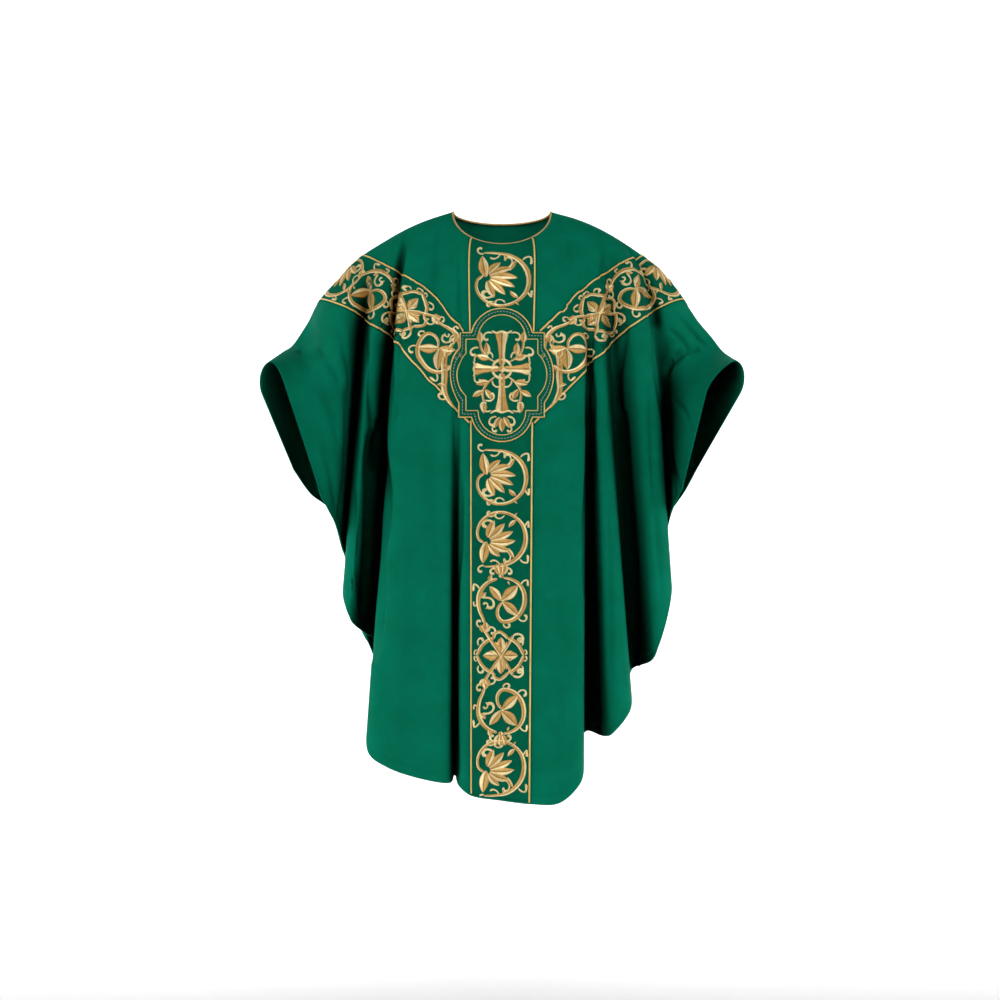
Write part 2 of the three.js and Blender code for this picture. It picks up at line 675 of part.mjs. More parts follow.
// The arms, from the pillar over the shoulder to the back pillar, with a braid along each edge.
const BRAID_OUTSIDE = BAND_WIDTH / 2 - BRAID_INSET;
const DISTANCES = [BRAID_OUTSIDE - BRAID_WIDTH, BRAID_OUTSIDE, BAND_WIDTH / 2];
const pillarSide = PILLAR_SEAT * (1 + (2 * LAYER_GAP) / BAND_WIDTH);
for (const [label, side] of [["right", -1], ["left", 1]]) {
  const rise = THREE.MathUtils.degToRad(ARM_AXIS.rise);
  const direction = new THREE.Vector3(side * Math.cos(rise), 0, Math.sin(rise));
  for (const [grid, guide] of [[front, ironedFront], [back, ironedBack]]) {
    const start = placeAt(guide, 0, ARM_START[grid.wall.name][label]);
    const tape = layTape(guide, start, direction, DISTANCES);
    const at = `${grid.wall.name}_${label}`;
    const band = keepBeyond(ringOf(tape[0][2], tape[1][2]), side * pillarSide, side);
    add(`orphrey_arm_${at}`, laidOn(grid, band, BAND_LOW, BAND_HIGH), BAND_MATERIAL);
    tape.forEach((edge, n) => {
      const pair = [edge[0], edge[1]];
      const lines = grid === front ? pair.map((line) => cutStart(front.wall, line, medallionEdge)) : pair;
      const braid = keepBeyond(ringOf(...lines), side * pillarSide, side);
      add(`braid_arm_${at}_${n + 1}`, laidOn(grid, braid, BRAID_LOW, BRAID_HIGH), GOLD_MATERIAL);
    });
  }
}

// The medallion and its gold border line.
const medallionRing = (by) => medallionOutline(by).map((p) => placeAt(front.wall, p.x, p.y));
add("medallion", laidOn(front, medallionRing(LAYER_GAP), MEDALLION_LOW, MEDALLION_HIGH), BAND_MATERIAL);
const lineLow = MEDALLION_HIGH + LAYER_GAP;
const linePlate = laidOn(front, medallionRing(MEDALLION_LINE.inset), lineLow, lineLow + MEDALLION_LINE.thick);
const lineInside = medallionRing(MEDALLION_LINE.inset + MEDALLION_LINE.width);
const lineHole = laidOn(front, lineInside, MEDALLION_HIGH - 1, MEDALLION_HIGH + 3);
add("medallion_line", cut(linePlate, lineHole), GOLD_MATERIAL);

export default chasuble;
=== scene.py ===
"""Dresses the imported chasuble: draped cloth, bands with raised gold embroidery, braids, piping and medallion.

Millimetres are used for the cloth's own arithmetic, as in the CAD source, and become metres in make_mesh.
A place on a wall of cloth is (seat, v): seat along the top edge, v from 0 at the top edge to 1 at the hem.
"""
import math

import bpy
import numpy as np
from mathutils.geometry import delaunay_2d_cdt
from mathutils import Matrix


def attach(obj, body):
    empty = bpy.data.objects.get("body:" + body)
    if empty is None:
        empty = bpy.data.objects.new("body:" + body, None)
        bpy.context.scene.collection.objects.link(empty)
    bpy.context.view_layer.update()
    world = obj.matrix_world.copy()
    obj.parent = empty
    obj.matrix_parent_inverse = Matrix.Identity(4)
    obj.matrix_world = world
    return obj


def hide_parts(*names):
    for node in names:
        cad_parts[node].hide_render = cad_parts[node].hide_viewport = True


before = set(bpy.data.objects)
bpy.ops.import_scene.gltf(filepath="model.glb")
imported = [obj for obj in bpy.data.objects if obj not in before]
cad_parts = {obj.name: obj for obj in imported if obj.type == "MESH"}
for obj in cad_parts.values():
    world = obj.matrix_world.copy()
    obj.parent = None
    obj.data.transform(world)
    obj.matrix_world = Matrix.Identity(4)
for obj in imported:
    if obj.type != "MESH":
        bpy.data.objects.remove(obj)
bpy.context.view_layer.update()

# ---- the walls of cloth, as in the CAD source
UP = np.array([0, 0, 1.0])
CHEST_Z = -400
CHEST_SHARE = 0.28
NECK_HALF_WIDTH = 107
NECK_SEAT = 100
NECK_SPREAD = math.pi / 4
SPREAD_FADE = 90
SEAM_GAP = 0.4
BAND_WIDTH = 134
HALF_BAND = BAND_WIDTH / 2
PILLAR_SEAT = 43
SEAT_END = 766
WALK_STEP = 2.8
ARM_RISE = math.radians(45)
ARM_REACH = 720
BEND_FROM, BEND_STEPS, BEND_TURN = 252, 4, math.radians(5.5)
ARM_START = {("front", -1): -437, ("front", 1): -437, ("back", -1): -402, ("back", 1): -401}
MEDALLION_Z, HALF_BOX = -359, 90
END_CHORD, END_RISE, SIDE_CHORD, SIDE_RISE = 65, 51, 60, 19

# each shoulder line from the neck point: x away from the middle, y, z
RIGHT_SHOULDER = [
    [107, 0, 0], [158, 1, -16], [205, 2, -36], [255, 4, -64], [303, 7, -95], [350, 11, -142],
    [398, 13, -196], [420, 6, -244], [438, -24, -282], [456, -100, -306], [476, -200, -334],
]
LEFT_SHOULDER = [
    [107, 0, 0], [158, 1, -14], [205, 2, -33], [262, 5, -65], [326, 8, -111], [361, 12, -146],
    [389, 14, -182], [419, 10, -228], [441, -4, -260], [460, -50, -296], [474, -120, -318],
    [480, -200, -332],
]
# seat, and how far the cloth runs level there before it falls
LEADS = np.array([[0, 24], [60, 40], [100, 62], [300, 58], [480, 34], [766, 18]], float)
# seat, x and y at the chest, then x, y and z at the hem
FRONT_FOLDS = [
    [-766, -442, -184, -380, -140, -596], [-640, -416, -174, -374, -132, -616],
    [-520, -376, -166, -362, -118, -640], [-400, -332, -152, -350, -92, -668],
    [-330, -317, -92, -340, -50, -712], [-275, -310, -22, -332, 0, -762],
    [-250, -302, -84, -338, -62, -818], [-228, -286, -122, -320, -92, -868],
    [-212, -264, -104, -290, -28, -904], [-200, -238, -44, -262, 38, -930],
    [-190, -228, -142, -279, -152, -1142], [-145, -188, -148, -238, -172, -1172],
    [-100, -138, -149, -170, -168, -1196], [-72, -108, -149, -113, -166, -1206],
    [-62, -95, -147, -100, -66, -1202], [-54, -82, -150, -87, -166, -1214],
    [-43, -67, -151, -66, -172, -1230], [0, 0, -153, -3, -178, -1240],
    [43, 67, -151, 60, -174, -1248], [75, 118, -149, 118, -176, -1246],
    [122, 168, -148, 163, -163, -1206], [155, 181, -112, 178, 12, -1120],
    [180, 198, -140, 228, -136, -1108], [205, 214, -138, 268, -120, -1062],
    [222, 240, -68, 280, 18, -986], [245, 290, -128, 322, -84, -948],
    [263, 326, -118, 361, -62, -808], [285, 338, -36, 348, -6, -740],
    [480, 362, -66, 350, -48, -680], [620, 392, -124, 360, -92, -632],
    [766, 420, -180, 376, -128, -594],
]
BACK_FOLDS = [
    [-766, -500, -140, -442, -62, -556], [-640, -462, -76, -412, 4, -606],
    [-520, -418, 10, -372, 52, -644], [-400, -350, 22, -340, 24, -740],
    [-302, -306, 72, -322, 84, -862], [-239, -262, 44, -290, 24, -926],
    [-195, -228, 100, -262, 118, -1010], [-145, -184, 82, -214, 58, -1084],
    [-118, -150, 112, -180, 142, -1146], [-70, -98, 112, -112, 156, -1206],
    [-43, -67, 114, -68, 158, -1226], [0, 0, 118, 0, 164, -1240],
    [43, 67, 114, 66, 158, -1226], [66, 92, 110, 104, 154, -1206],
    [90, 120, 98, 138, 92, -1176], [122, 156, 112, 192, 140, -1106],
    [155, 194, 86, 228, 52, -1062], [192, 235, 100, 269, 104, -986],
    [233, 266, 56, 293, 30, -930], [285, 306, 76, 324, 78, -862],
    [350, 334, 40, 334, 38, -782], [526, 414, 14, 356, 48, -668],
    [668, 456, -82, 396, 6, -598], [766, 496, -138, 416, -48, -552],
]


def unit(vectors):
    return vectors / np.maximum(np.linalg.norm(vectors, axis=-1, keepdims=True), 1e-12)


def dot(a, b):
    return (a * b).sum(-1)


def lengths(points):
    """How far along a line each of its points is."""
    return np.r_[0, np.cumsum(np.linalg.norm(np.diff(points, axis=0), axis=1))]


def along(points, gone, wanted):
    return np.stack([np.interp(wanted, gone, column) for column in points.T], 1)


def turned(points, angle):
    """Points turned about the origin of their first two coordinates."""
    x, y, c, s = points[..., 0], points[..., 1], np.cos(angle), np.sin(angle)
    return np.stack([x * c - y * s, x * s + y * c], -1)


def between(ticks, wanted):
    """The tick below each wanted value, and the share of the way to the next."""
    i = np.clip(np.searchsorted(ticks, wanted) - 1, 0, len(ticks) - 2)
    return i, (wanted - ticks[i]) / (ticks[i + 1] - ticks[i])


def blend(grid, i, j, a, b):
    """What a lattice holds at shares a and b of the way from its points i, j to the next ones."""
    near, far = (grid[i, k] * (1 - a) + grid[i + 1, k] * a for k in (j, j + 1))
    return near * (1 - b) + far * b


class Spline:
    """An open centripetal Catmull-Rom curve, the same one that the CAD source uses."""

    def __init__(self, points):
        p = np.asarray(points, float)
        p = np.vstack([2 * p[0] - p[1], p, 2 * p[-1] - p[-2]])
        gap = np.maximum((np.diff(p, axis=0) ** 2).sum(1) ** 0.25, 1e-4)[:, None]
        x0, x1, x2, x3 = p[:-3], p[1:-2], p[2:-1], p[3:]
        g0, g1, g2 = gap[:-2], gap[1:-1], gap[2:]
        leave = ((x1 - x0) / g0 - (x2 - x0) / (g0 + g1) + (x2 - x1) / g1) * g1
        arrive = ((x2 - x1) / g1 - (x3 - x1) / (g1 + g2) + (x3 - x2) / g2) * g1
        self.parts = (x1, leave, 3 * (x2 - x1) - 2 * leave - arrive, 2 * (x1 - x2) + leave + arrive)

    def at(self, share):
        """Points at shares of the curve from 0 to 1, with each stretch between two rows as long as the next."""
        spot = np.clip(share, 0, 1) * len(self.parts[0])
        i = np.minimum(spot.astype(int), len(self.parts[0]) - 1)
        w = (spot - i)[..., None]
        a, b, c, d = (part[i] for part in self.parts)
        return a + w * (b + w * (c + w * d))

    def by_length(self, step):
        """Points along the whole curve, about a step apart."""
        fine = self.at(np.linspace(0, 1, 40 * len(self.parts[0]) + 1))
        gone = lengths(fine)
        return along(fine, gone, np.linspace(0, gone[-1], max(3, int(round(gone[-1] / step)) + 1)))


class Shoulder:
    """The shoulder line of one side, by its length. side is 1 for +X and -1 for -X."""

    def __init__(self, side, line):
        self.spline = Spline(np.array(line) * [side, 1, 1])
        self.shares = np.linspace(0, 1, 401)
        self.gone = lengths(self.spline.at(self.shares))

    def at(self, length):
        """Points and directions at lengths from the neck point."""
        share = np.interp(length, self.gone, self.shares)
        ahead = self.spline.at(np.minimum(share + 1e-4, 1)) - self.spline.at(np.maximum(share - 1e-4, 0))
        return self.spline.at(share), unit(ahead)


SHOULDERS = {-1: Shoulder(-1, RIGHT_SHOULDER), 1: Shoulder(1, LEFT_SHOULDER)}


class Wall:
    """A wall of cloth that hangs from the top edge. facing is -1 for the front and 1 for the back."""

    def __init__(self, folds, reach, drop, facing):
        rows = self.folds = np.asarray(folds, float)
        self.reach, self.drop, self.facing = reach, drop, facing
        self.chest = Spline(np.c_[rows[:, 1:3], np.full(len(rows), CHEST_Z)])
        self.hem = Spline(rows[:, 3:6])

    def ironed(self):
        """The same wall with the depth of the folds taken out, as a guide for bands that run across them."""
        rows = self.folds.copy()
        for i in range(len(rows)):
            rows[i, [2, 4]] = self.folds[max(0, i - 3):i + 4, [2, 4]].mean(0)
        return Wall(rows, self.reach, self.drop, self.facing)

    def top_edge(self, seat):
        """Points of the top edge, and the level directions in which the wall leaves it."""
        side, out = np.where(seat < 0, -1.0, 1.0), np.abs(seat)
        angle = np.minimum(out / NECK_SEAT, 1) * math.pi / 2
        point = np.stack([
            side * NECK_HALF_WIDTH * np.sin(angle),
            self.facing * (self.reach * np.cos(angle) + SEAM_GAP / 2),
            -self.drop * np.cos(angle),
        ], -1)
        spread = NECK_SPREAD * np.minimum(out / NECK_SEAT, 1)
        away = np.stack([side * np.sin(spread), self.facing * np.cos(spread), 0 * out], -1)
        for s, line in SHOULDERS.items():
            on = (out >= NECK_SEAT) & (side == s)
            if not on.any():
                continue
            spot, ahead = line.at(out[on] - NECK_SEAT)
            square = unit(np.stack([-ahead[..., 1], ahead[..., 0], 0 * ahead[..., 0]], -1)) * s * self.facing
            turn = NECK_SPREAD * np.maximum(0, 1 - (out[on] - NECK_SEAT) / SPREAD_FADE) ** 2
            away[on, :2] = turned(square, -s * self.facing * turn)
            away[on, 2] = 0
            point[on] = spot + square * SEAM_GAP / 2
        return point, away

    def at(self, seat, v):
        """Points of the wall's outside."""
        seat, v = np.broadcast_arrays(np.asarray(seat, float), np.asarray(v, float))
        share = np.interp(seat, self.folds[:, 0], np.linspace(0, 1, len(self.folds)))
        chest, hem = self.chest.at(share), self.hem.at(share)
        fall_on = ((v - CHEST_SHARE) / (1 - CHEST_SHARE))[..., None]
        low = chest + (hem - chest) * fall_on
        top, away = self.top_edge(seat)
        fall = (top[..., 2] - CHEST_Z)[..., None]
        lead = top + away * np.interp(np.abs(seat), *LEADS.T)[..., None] - UP * 0.04 * fall
        below = hem - chest
        arrive = chest - below * (0.45 * fall / -below[..., 2:3])
        t = (v / CHEST_SHARE)[..., None]
        r = 1 - t
        high = r ** 3 * top + 3 * r * r * t * lead + 3 * r * t * t * arrive + t ** 3 * chest
        return np.where((v >= CHEST_SHARE)[..., None], low, high)

    def step(self, seat, v, move):
        """The places that a small move in the wall's own plane leads to."""
        here = self.at(seat, v)
        by_seat = (self.at(seat + 0.5, v) - here) / 0.5
        by_v = (self.at(seat, v + 0.002) - here) / 0.002
        a, b, c = dot(by_seat, by_seat), dot(by_seat, by_v), dot(by_v, by_v)
        p, q = dot(by_seat, move), dot(by_v, move)
        whole = a * c - b * b
        return seat + (p * c - q * b) / whole, v + (q * a - p * b) / whole

    def place_at(self, x, z, rounds=30):
        """The places that show at x, z from the front or back."""
        seat, v = x / BAND_WIDTH * 2 * PILLAR_SEAT, z / CHEST_Z * CHEST_SHARE
        for _ in range(rounds):
            here = self.at(seat, v)
            seat, v = self.step(seat, v, np.stack([x - here[..., 0], 0 * x, z - here[..., 2]], -1) * 0.7)
        return seat, v


FRONT = Wall(FRONT_FOLDS, 105, 82, -1)
BACK = Wall(BACK_FOLDS, 76, 18, 1)

# ---- creases, as the photograph's pixels show them
EYE = np.array([-4, -4500, -619.0])
MM_PER_PX = 2.15  # at y = 0
MIDDLE_PX = 500

# depth and half width in mm, then x, y of each pixel that a crease runs through
FRONT_CREASES = [
    # over the wearer's right arm and down beside the front panel
    (9, 9, 408, 280, 405, 310, 402, 340, 398, 380, 392, 430),
    (6, 14, 384, 340, 388, 380, 390, 440, 388, 520),
    (14, 12, 379, 415, 380, 455, 384, 510),
    (38, 25, 381, 430, 380, 500, 377, 560, 373, 615, 369, 665),
    (22, 14, 372, 430, 371, 490, 368, 550, 364, 620),
    (10, 12, 354, 490, 353, 550, 350, 610),
    (6, 10, 366, 318, 369, 370, 374, 430, 376, 470),
    (15, 8, 345, 380, 347, 430, 345, 475, 339, 520),
    (7, 8, 338, 318, 345, 350, 349, 390, 347, 430),
    (11, 8, 298, 350, 318, 356, 334, 372, 342, 400),
    (8, 7, 304, 376, 320, 392, 332, 418, 340, 448),
    (5, 8, 322, 440, 330, 470, 336, 510),
    (5, 8, 362, 520, 360, 580, 362, 625),
    # beside the pillar
    (14, 8, 461, 470, 459, 560, 456, 640, 455, 777),
    (4, 12, 436, 400, 432, 470, 436, 560, 440, 700),
    (3, 14, 410, 480, 412, 600, 404, 740),
    (4, 9, 540, 648, 552, 668, 562, 700, 566, 740),
    (3, 8, 545, 600, 556, 618, 566, 648),
    (3, 8, 548, 455, 556, 490, 560, 540),
    # the wearer's left arm and the tubes below it
    (8, 8, 607, 252, 601, 282, 594, 325, 590, 365, 588, 430),
    (8, 12, 598, 372, 592, 440, 588, 520, 590, 600),
    (26, 11, 590, 500, 591, 560, 594, 640, 597, 737),
    (10, 9, 628, 330, 618, 380, 620, 420, 624, 480),
    (32, 14, 621, 410, 626, 480, 632, 560, 636, 665),
    (19, 10, 622, 236, 640, 260, 650, 288, 656, 318, 657, 350),
    (16, 8, 657, 318, 657, 350, 661, 400, 668, 440, 675, 500),
    (6, 8, 606, 470, 610, 560, 612, 690),
    (7, 8, 650, 380, 652, 450, 657, 540, 662, 600),
    # the sleeve
    (14, 8, 664, 374, 672, 362, 684, 352, 700, 348),
    (9, 6, 676, 316, 686, 324, 697, 334, 706, 346),
    (8, 6, 668, 330, 680, 338, 690, 350),
    (4, 7, 672, 400, 684, 412, 692, 432),
    (5, 8, 668, 430, 672, 460, 680, 490),
    # at the neck
    (2.5, 10, 452, 238, 440, 262, 434, 300),
    (2.5, 10, 556, 236, 570, 258, 580, 290),
]

BACK_CREASES = [
    (20, 12, 380, 300, 384, 420, 378, 560, 374, 700),
    (12, 10, 420, 330, 424, 480, 420, 700),
    (20, 12, 612, 300, 610, 420, 616, 560, 620, 700),
    (12, 10, 575, 330, 573, 480, 578, 720),
    (9, 10, 340, 300, 345, 380, 348, 480),
    (9, 10, 655, 300, 650, 380, 648, 480),
    (6, 9, 310, 360, 322, 400, 335, 450),
    (6, 9, 690, 350, 680, 400, 668, 450),
    (5, 12, 455, 250, 445, 300, 440, 380),
    (5, 12, 548, 250, 556, 300, 560, 380),
]


def seen_at(points, facing, pixels):
    """Points of a wall's lattice that show at pixels of the photograph, on the layer nearest to the viewer."""
    flat = points.reshape(-1, 3)
    scale = MM_PER_PX * (flat[:, 1] - EYE[1]) / -EYE[1]
    shown = MIDDLE_PX + (flat - EYE)[:, [0, 2]] * [1, -1] / scale[:, None]
    found = []
    for pixel in np.reshape(pixels, (-1, 2)):
        off = np.linalg.norm(shown - pixel, axis=1)
        found.append(flat[(5 * off - 0.3 * facing * flat[:, 1]).argmin()])
    return np.array(found)


def crease_relief(points, lines):
    """How far creases push points in, in mm. lines are (depth, half width, 3-D points)."""
    relief = np.zeros(points.shape[:-1])
    flat = points.reshape(-1, 3)
    for depth, width, line in lines:
        path = Spline(line).by_length(6)
        low, high = path.min(0) - 4 * width, path.max(0) + 4 * width
        near = np.flatnonzero(((flat > low) & (flat < high)).all(1))
        if not len(near):
            continue
        gaps = ((flat[near, None] - path[None]) ** 2).sum(-1)
        best = gaps.argmin(1)
        along = best / (len(path) - 1)
        fade = np.clip(4 * along * (1 - along), 0, 1) ** 0.6
        relief.reshape(-1)[near] += depth * fade * np.exp(-gaps.min(1) / width ** 2)
    return relief


HEM_SEAM = 0.9845
UPPER_ROWS = 0.36  # share of the rows that lie above the chest


class Cloth:
    """A wall as a dense lattice of points and normals, with its creases."""

    def __init__(self, wall, columns, rows, creases):
        fine = np.linspace(-SEAT_END, SEAT_END, 3001)
        rings = [wall.at(fine, np.full(len(fine), v)) for v in (0, 0.12, CHEST_SHARE, 0.6, 1)]
        steps = np.max([np.linalg.norm(np.diff(ring, axis=0), axis=1) for ring in rings], 0)
        gone = np.r_[0, np.cumsum(steps)]
        self.wall = wall
        self.seats = np.interp(np.linspace(0, gone[-1], columns), gone, fine)
        for edge in (-NECK_SEAT, NECK_SEAT):
            self.seats[np.abs(self.seats - edge).argmin()] = edge
        upper = int(rows * UPPER_ROWS)
        self.vs = np.r_[
            np.linspace(0, 1, upper, endpoint=False) ** 1.25 * CHEST_SHARE,
            np.linspace(CHEST_SHARE, 0.976, rows - upper - 6),
            HEM_SEAM - 0.001, HEM_SEAM, HEM_SEAM + 0.001, 0.992, 0.998, 1,
        ]
        self.points = wall.at(self.seats[None], self.vs[:, None])
        self.settle_normals()
        lines = [(depth, width, seen_at(self.points, wall.facing, pixels)) for depth, width, *pixels in creases]
        self.points = self.points - self.normals * crease_relief(self.points, lines)[..., None]
        self.settle_normals()

    def settle_normals(self):
        across, down = np.gradient(self.points, axis=1), np.gradient(self.points, axis=0)
        self.normals = unit(np.cross(across, down)) * self.wall.facing

    def lay(self, seat, v, height):
        """Points over the cloth at places, height above its outside."""
        (i, a), (j, b) = between(self.seats, seat), between(self.vs, v)
        grids = self.points.swapaxes(0, 1), self.normals.swapaxes(0, 1)
        points, normals = (blend(grid, i, j, a[..., None], b[..., None]) for grid in grids)
        return points + unit(normals) * np.asarray(height)[..., None]


cloths = {"front": Cloth(FRONT, 330, 138, FRONT_CREASES), "back": Cloth(BACK, 300, 138, BACK_CREASES)}


# ---- grounds: flat coordinates that lie on the cloth
class Ground:
    """Flat coordinates a and b on a cloth. seats and vs hold the places of their lattice."""

    def __init__(self, cloth, a, b, seats, vs):
        self.cloth, self.a, self.b, self.seats, self.vs = cloth, a, b, seats, vs

    def place(self, a, b):
        (i, p), (j, q) = between(self.a, a), between(self.b, b)
        return blend(self.seats, i, j, p, q), blend(self.vs, i, j, p, q)

    def lay(self, flat, height):
        seat, v = self.place(flat[..., 0], flat[..., 1])
        return self.cloth.lay(seat, np.clip(v, 0, 1), height), v


def arm_ground(name, side):
    """s along an arm's axis from the centre line, t across it, towards the neck where t is positive."""
    cloth = cloths[name]
    guide = cloth.wall.ironed()
    seat, v = guide.place_at(np.array([0.0]), np.array([float(ARM_START[name, side])]), 60)
    heading = np.array([[side * math.cos(ARM_RISE), 0, math.sin(ARM_RISE)]])
    centre = []
    for k in range(int(ARM_REACH / WALK_STEP) + 1):
        here = guide.at(seat, v)
        normal = unit(np.cross(guide.at(seat + 0.5, v) - here, guide.at(seat, v + 0.002) - here))
        if k % 10 == 0:
            heading = unit(heading - normal * dot(heading, normal)[:, None])
            if 0 <= k - BEND_FROM / WALK_STEP < 10 * BEND_STEPS:
                turn = side * BEND_TURN
                heading = heading * math.cos(turn) + np.cross(normal, heading) * math.sin(turn)
        centre.append([seat[0], v[0], *unit(np.cross(normal, heading))[0]])
        seat, v = guide.step(seat, v, heading * WALK_STEP)
    centre = np.array(centre)
    count = 24  # steps from the axis to either edge
    seats, vs = np.zeros((2, len(centre), 2 * count + 1))
    for way in (-1, 1):
        seat, v = centre[:, 0], centre[:, 1]
        for k in range(count + 1):
            column = count + way * side * k
            seats[:, column], vs[:, column] = seat, v
            seat, v = guide.step(seat, v, centre[:, 2:] * way * HALF_BAND / count)
    across = np.linspace(-HALF_BAND, HALF_BAND, 2 * count + 1)
    return Ground(cloth, np.arange(len(centre)) * WALK_STEP, across, seats, vs)


def pillar_ground(name):
    """a across the pillar from edge to edge, and z as it shows. Past the wall's ends v goes on by 1 in 500 mm."""
    cloth = cloths[name]
    across, zs = np.linspace(-HALF_BAND, HALF_BAND, 35), np.linspace(-1256, 0, 315)
    v = np.linspace(0, 1, 400)
    seats = across * PILLAR_SEAT / HALF_BAND
    vs = []
    for seat in seats:
        z = cloth.wall.at(np.full(len(v), seat), v)[:, 2]
        vs.append(np.interp(-zs, -z, v) + (np.maximum(z[-1] - zs, 0) - np.maximum(zs - z[0], 0)) / 500)
    return Ground(cloth, across, zs, np.repeat(seats[:, None], len(zs), 1), np.array(vs))


# x, z as the front view shows them, over the pillar and the medallion
xs, zs = np.linspace(-126, 126, 43), np.linspace(-1250, 0, 251)
x, z = np.meshgrid(xs, np.minimum(zs, -30.0), indexing="ij")
medallion_ground = Ground(cloths["front"], xs, zs, *FRONT.place_at(x, z))
pillars = {name: pillar_ground(name) for name in cloths}
arms = {(name, side): arm_ground(name, side) for name in cloths for side in (-1, 1)}


# ---- meshes
def make_mesh(name, points, faces, slots, uv=None, which=None):
    """An object from points in mm. slots are its materials, and which names one of them for each face."""
    data = bpy.data.meshes.new(name)
    data.from_pydata((np.asarray(points) * 0.001).tolist(), [], [list(map(int, f)) for f in faces])
    for slot in slots:
        data.materials.append(slot)
    data.polygons.foreach_set("use_smooth", np.ones(len(data.polygons), bool))
    if which is not None:
        data.polygons.foreach_set("material_index", np.asarray(which, np.int32))
    if uv is not None:
        corner = np.zeros(len(data.loops), np.int32)
        data.loops.foreach_get("vertex_index", corner)
        layer = data.uv_layers.new(name="threads")
        layer.uv.foreach_set("vector", np.asarray(uv, np.float32)[corner].ravel())
    data.update()
    made = bpy.data.objects.new(name, data)
    bpy.context.scene.collection.objects.link(made)
    return made


def shell(name, outer, inner, flip, slots, uv):
    """A closed sheet between two lattices of points, rows by columns."""
    rows, columns = outer.shape[:2]
    under = rows * columns
    a = np.arange(under).reshape(rows, columns)[:-1, :-1].ravel()
    quads = np.stack([a, a + 1, a + columns + 1, a + columns], 1)
    rim = np.r_[
        np.arange(columns), np.arange(2 * columns - 1, under, columns),
        np.arange(under - 2, under - columns - 1, -1), np.arange(under - 2 * columns, 0, -columns),
    ]
    to = np.roll(rim, -1)
    sides = np.stack([to, rim, rim + under, to + under], 1)
    if flip:
        quads, sides = quads[:, ::-1], sides[:, ::-1]
    faces = np.r_[quads, quads[:, ::-1] + under, sides]
    points = np.r_[outer.reshape(-1, 3), inner.reshape(-1, 3)]
    return make_mesh(name, points, faces, slots, np.tile(uv.reshape(-1, 2), (2, 1)))


def flat_sizes(points):
    """Distances along the rows and down the columns of a lattice, in mm, as a map for the weave."""
    across = np.linalg.norm(np.diff(points, axis=1), axis=2).mean(0)
    down = np.linalg.norm(np.diff(points, axis=0), axis=2)
    u = np.broadcast_to(np.r_[0, np.cumsum(across)], points.shape[:2])
    v = np.vstack([np.zeros(points.shape[1]), np.cumsum(down, 0)])
    return np.stack([u, v], -1)


# ---- materials
def colour(r, g, b):
    """Linear colour of an sRGB one, 0 to 255."""
    return [((c / 255 + 0.055) / 1.055) ** 2.4 if c > 10 else c / 255 / 12.92 for c in (r, g, b)] + [1]


def material(name, **sockets):
    made = bpy.data.materials.new(name)
    made.use_nodes = True
    shader = made.node_tree.nodes["Principled BSDF"]
    for key, value in sockets.items():
        shader.inputs[key.replace("_", " ")].default_value = value
    return made, made.node_tree, shader


def add_node(tree, kind, fed=None, **sockets):
    """A new node. fed has the outputs that feed its sockets, and sockets are constants."""
    made = tree.nodes.new("ShaderNode" + kind)
    for key, output in (fed or {}).items():
        tree.links.new(output, made.inputs[key])
    for key, value in sockets.items():
        made.inputs[key].default_value = value
    return made


def threads_map(tree, *scale):
    """The threads map in mm, times a scale each way."""
    uv = add_node(tree, "UVMap")
    uv.uv_map = "threads"
    return add_node(tree, "Mapping", {"Vector": uv.outputs["UV"]}, Scale=(*scale, 1)).outputs["Vector"]


def noise(tree, scale, detail):
    place = add_node(tree, "TexCoord").outputs["Object"]
    return add_node(tree, "TexNoise", {"Vector": place}, Scale=scale, Detail=detail, Roughness=0.6).outputs["Fac"]


def ramp(tree, fac, *stops):
    """A ramp of colours. Each stop is its place and an sRGB colour."""
    made = add_node(tree, "ValToRGB", {"Fac": fac})
    elements = made.color_ramp.elements
    elements.remove(elements[1])
    for k, (spot, shade) in enumerate(stops):
        element = elements.new(spot) if k else elements[0]
        element.position, element.color = spot, colour(*shade)
    return made.outputs["Color"]


def bump(tree, shader, height, strength, distance):
    made = add_node(tree, "Bump", {"Height": height}, Strength=strength, Distance=distance)
    tree.links.new(made.outputs["Normal"], shader.inputs["Normal"])


def wave(tree, vector, direction, **sockets):
    """Ridges one unit of the vector apart."""
    made = add_node(tree, "TexWave", {"Vector": vector}, Scale=0.31416, **sockets)
    made.bands_direction = direction
    return made.outputs["Fac"]


def reckon(tree, kind, a, b):
    made = add_node(tree, "Math", {0: a, 1: b})
    made.operation = kind
    return made.outputs["Value"]


def cloth_material(name, deep, plain, light):
    """Woven cloth with a faint mottle, and painted shade: an ambient-occlusion ramp darkens its colour to near black
    where it lies close to itself, in creases and fold valleys.
    """
    made, tree, shader = material(
        name, Roughness=0.82, Sheen_Weight=0.03, Sheen_Roughness=0.35, Sheen_Tint=colour(20, 190, 150),
        Specular_IOR_Level=0.03,
    )
    weave = reckon(
        tree, "ADD",
        wave(tree, threads_map(tree, 1.25, 1.25), "DIAGONAL", Distortion=0, Detail=0),
        wave(tree, threads_map(tree, 2.2, 2.2), "Y", Distortion=0, Detail=0),
    )
    # painted shade: the colour goes nearly black in deep folds and creases
    painted_fold_shade = add_node(tree, "AmbientOcclusion", Distance=0.16)
    painted_fold_shade.samples = 6
    shade = ramp(tree, painted_fold_shade.outputs["AO"], (0.22, (10, 8, 8)), (0.74, (255, 255, 255)))
    mottle = ramp(tree, noise(tree, 14, 4), (0.3, deep), (0.5, plain), (0.72, light))
    mixer = tree.nodes.new("ShaderNodeMix")
    mixer.data_type, mixer.blend_type = "RGBA", "MULTIPLY"
    mixer.inputs[0].default_value = 1
    tree.links.new(mottle, mixer.inputs[6])
    tree.links.new(shade, mixer.inputs[7])
    tree.links.new(mixer.outputs[2], shader.inputs["Base Color"])
    bump(tree, shader, weave, 0.4, 0.0004)
    return made


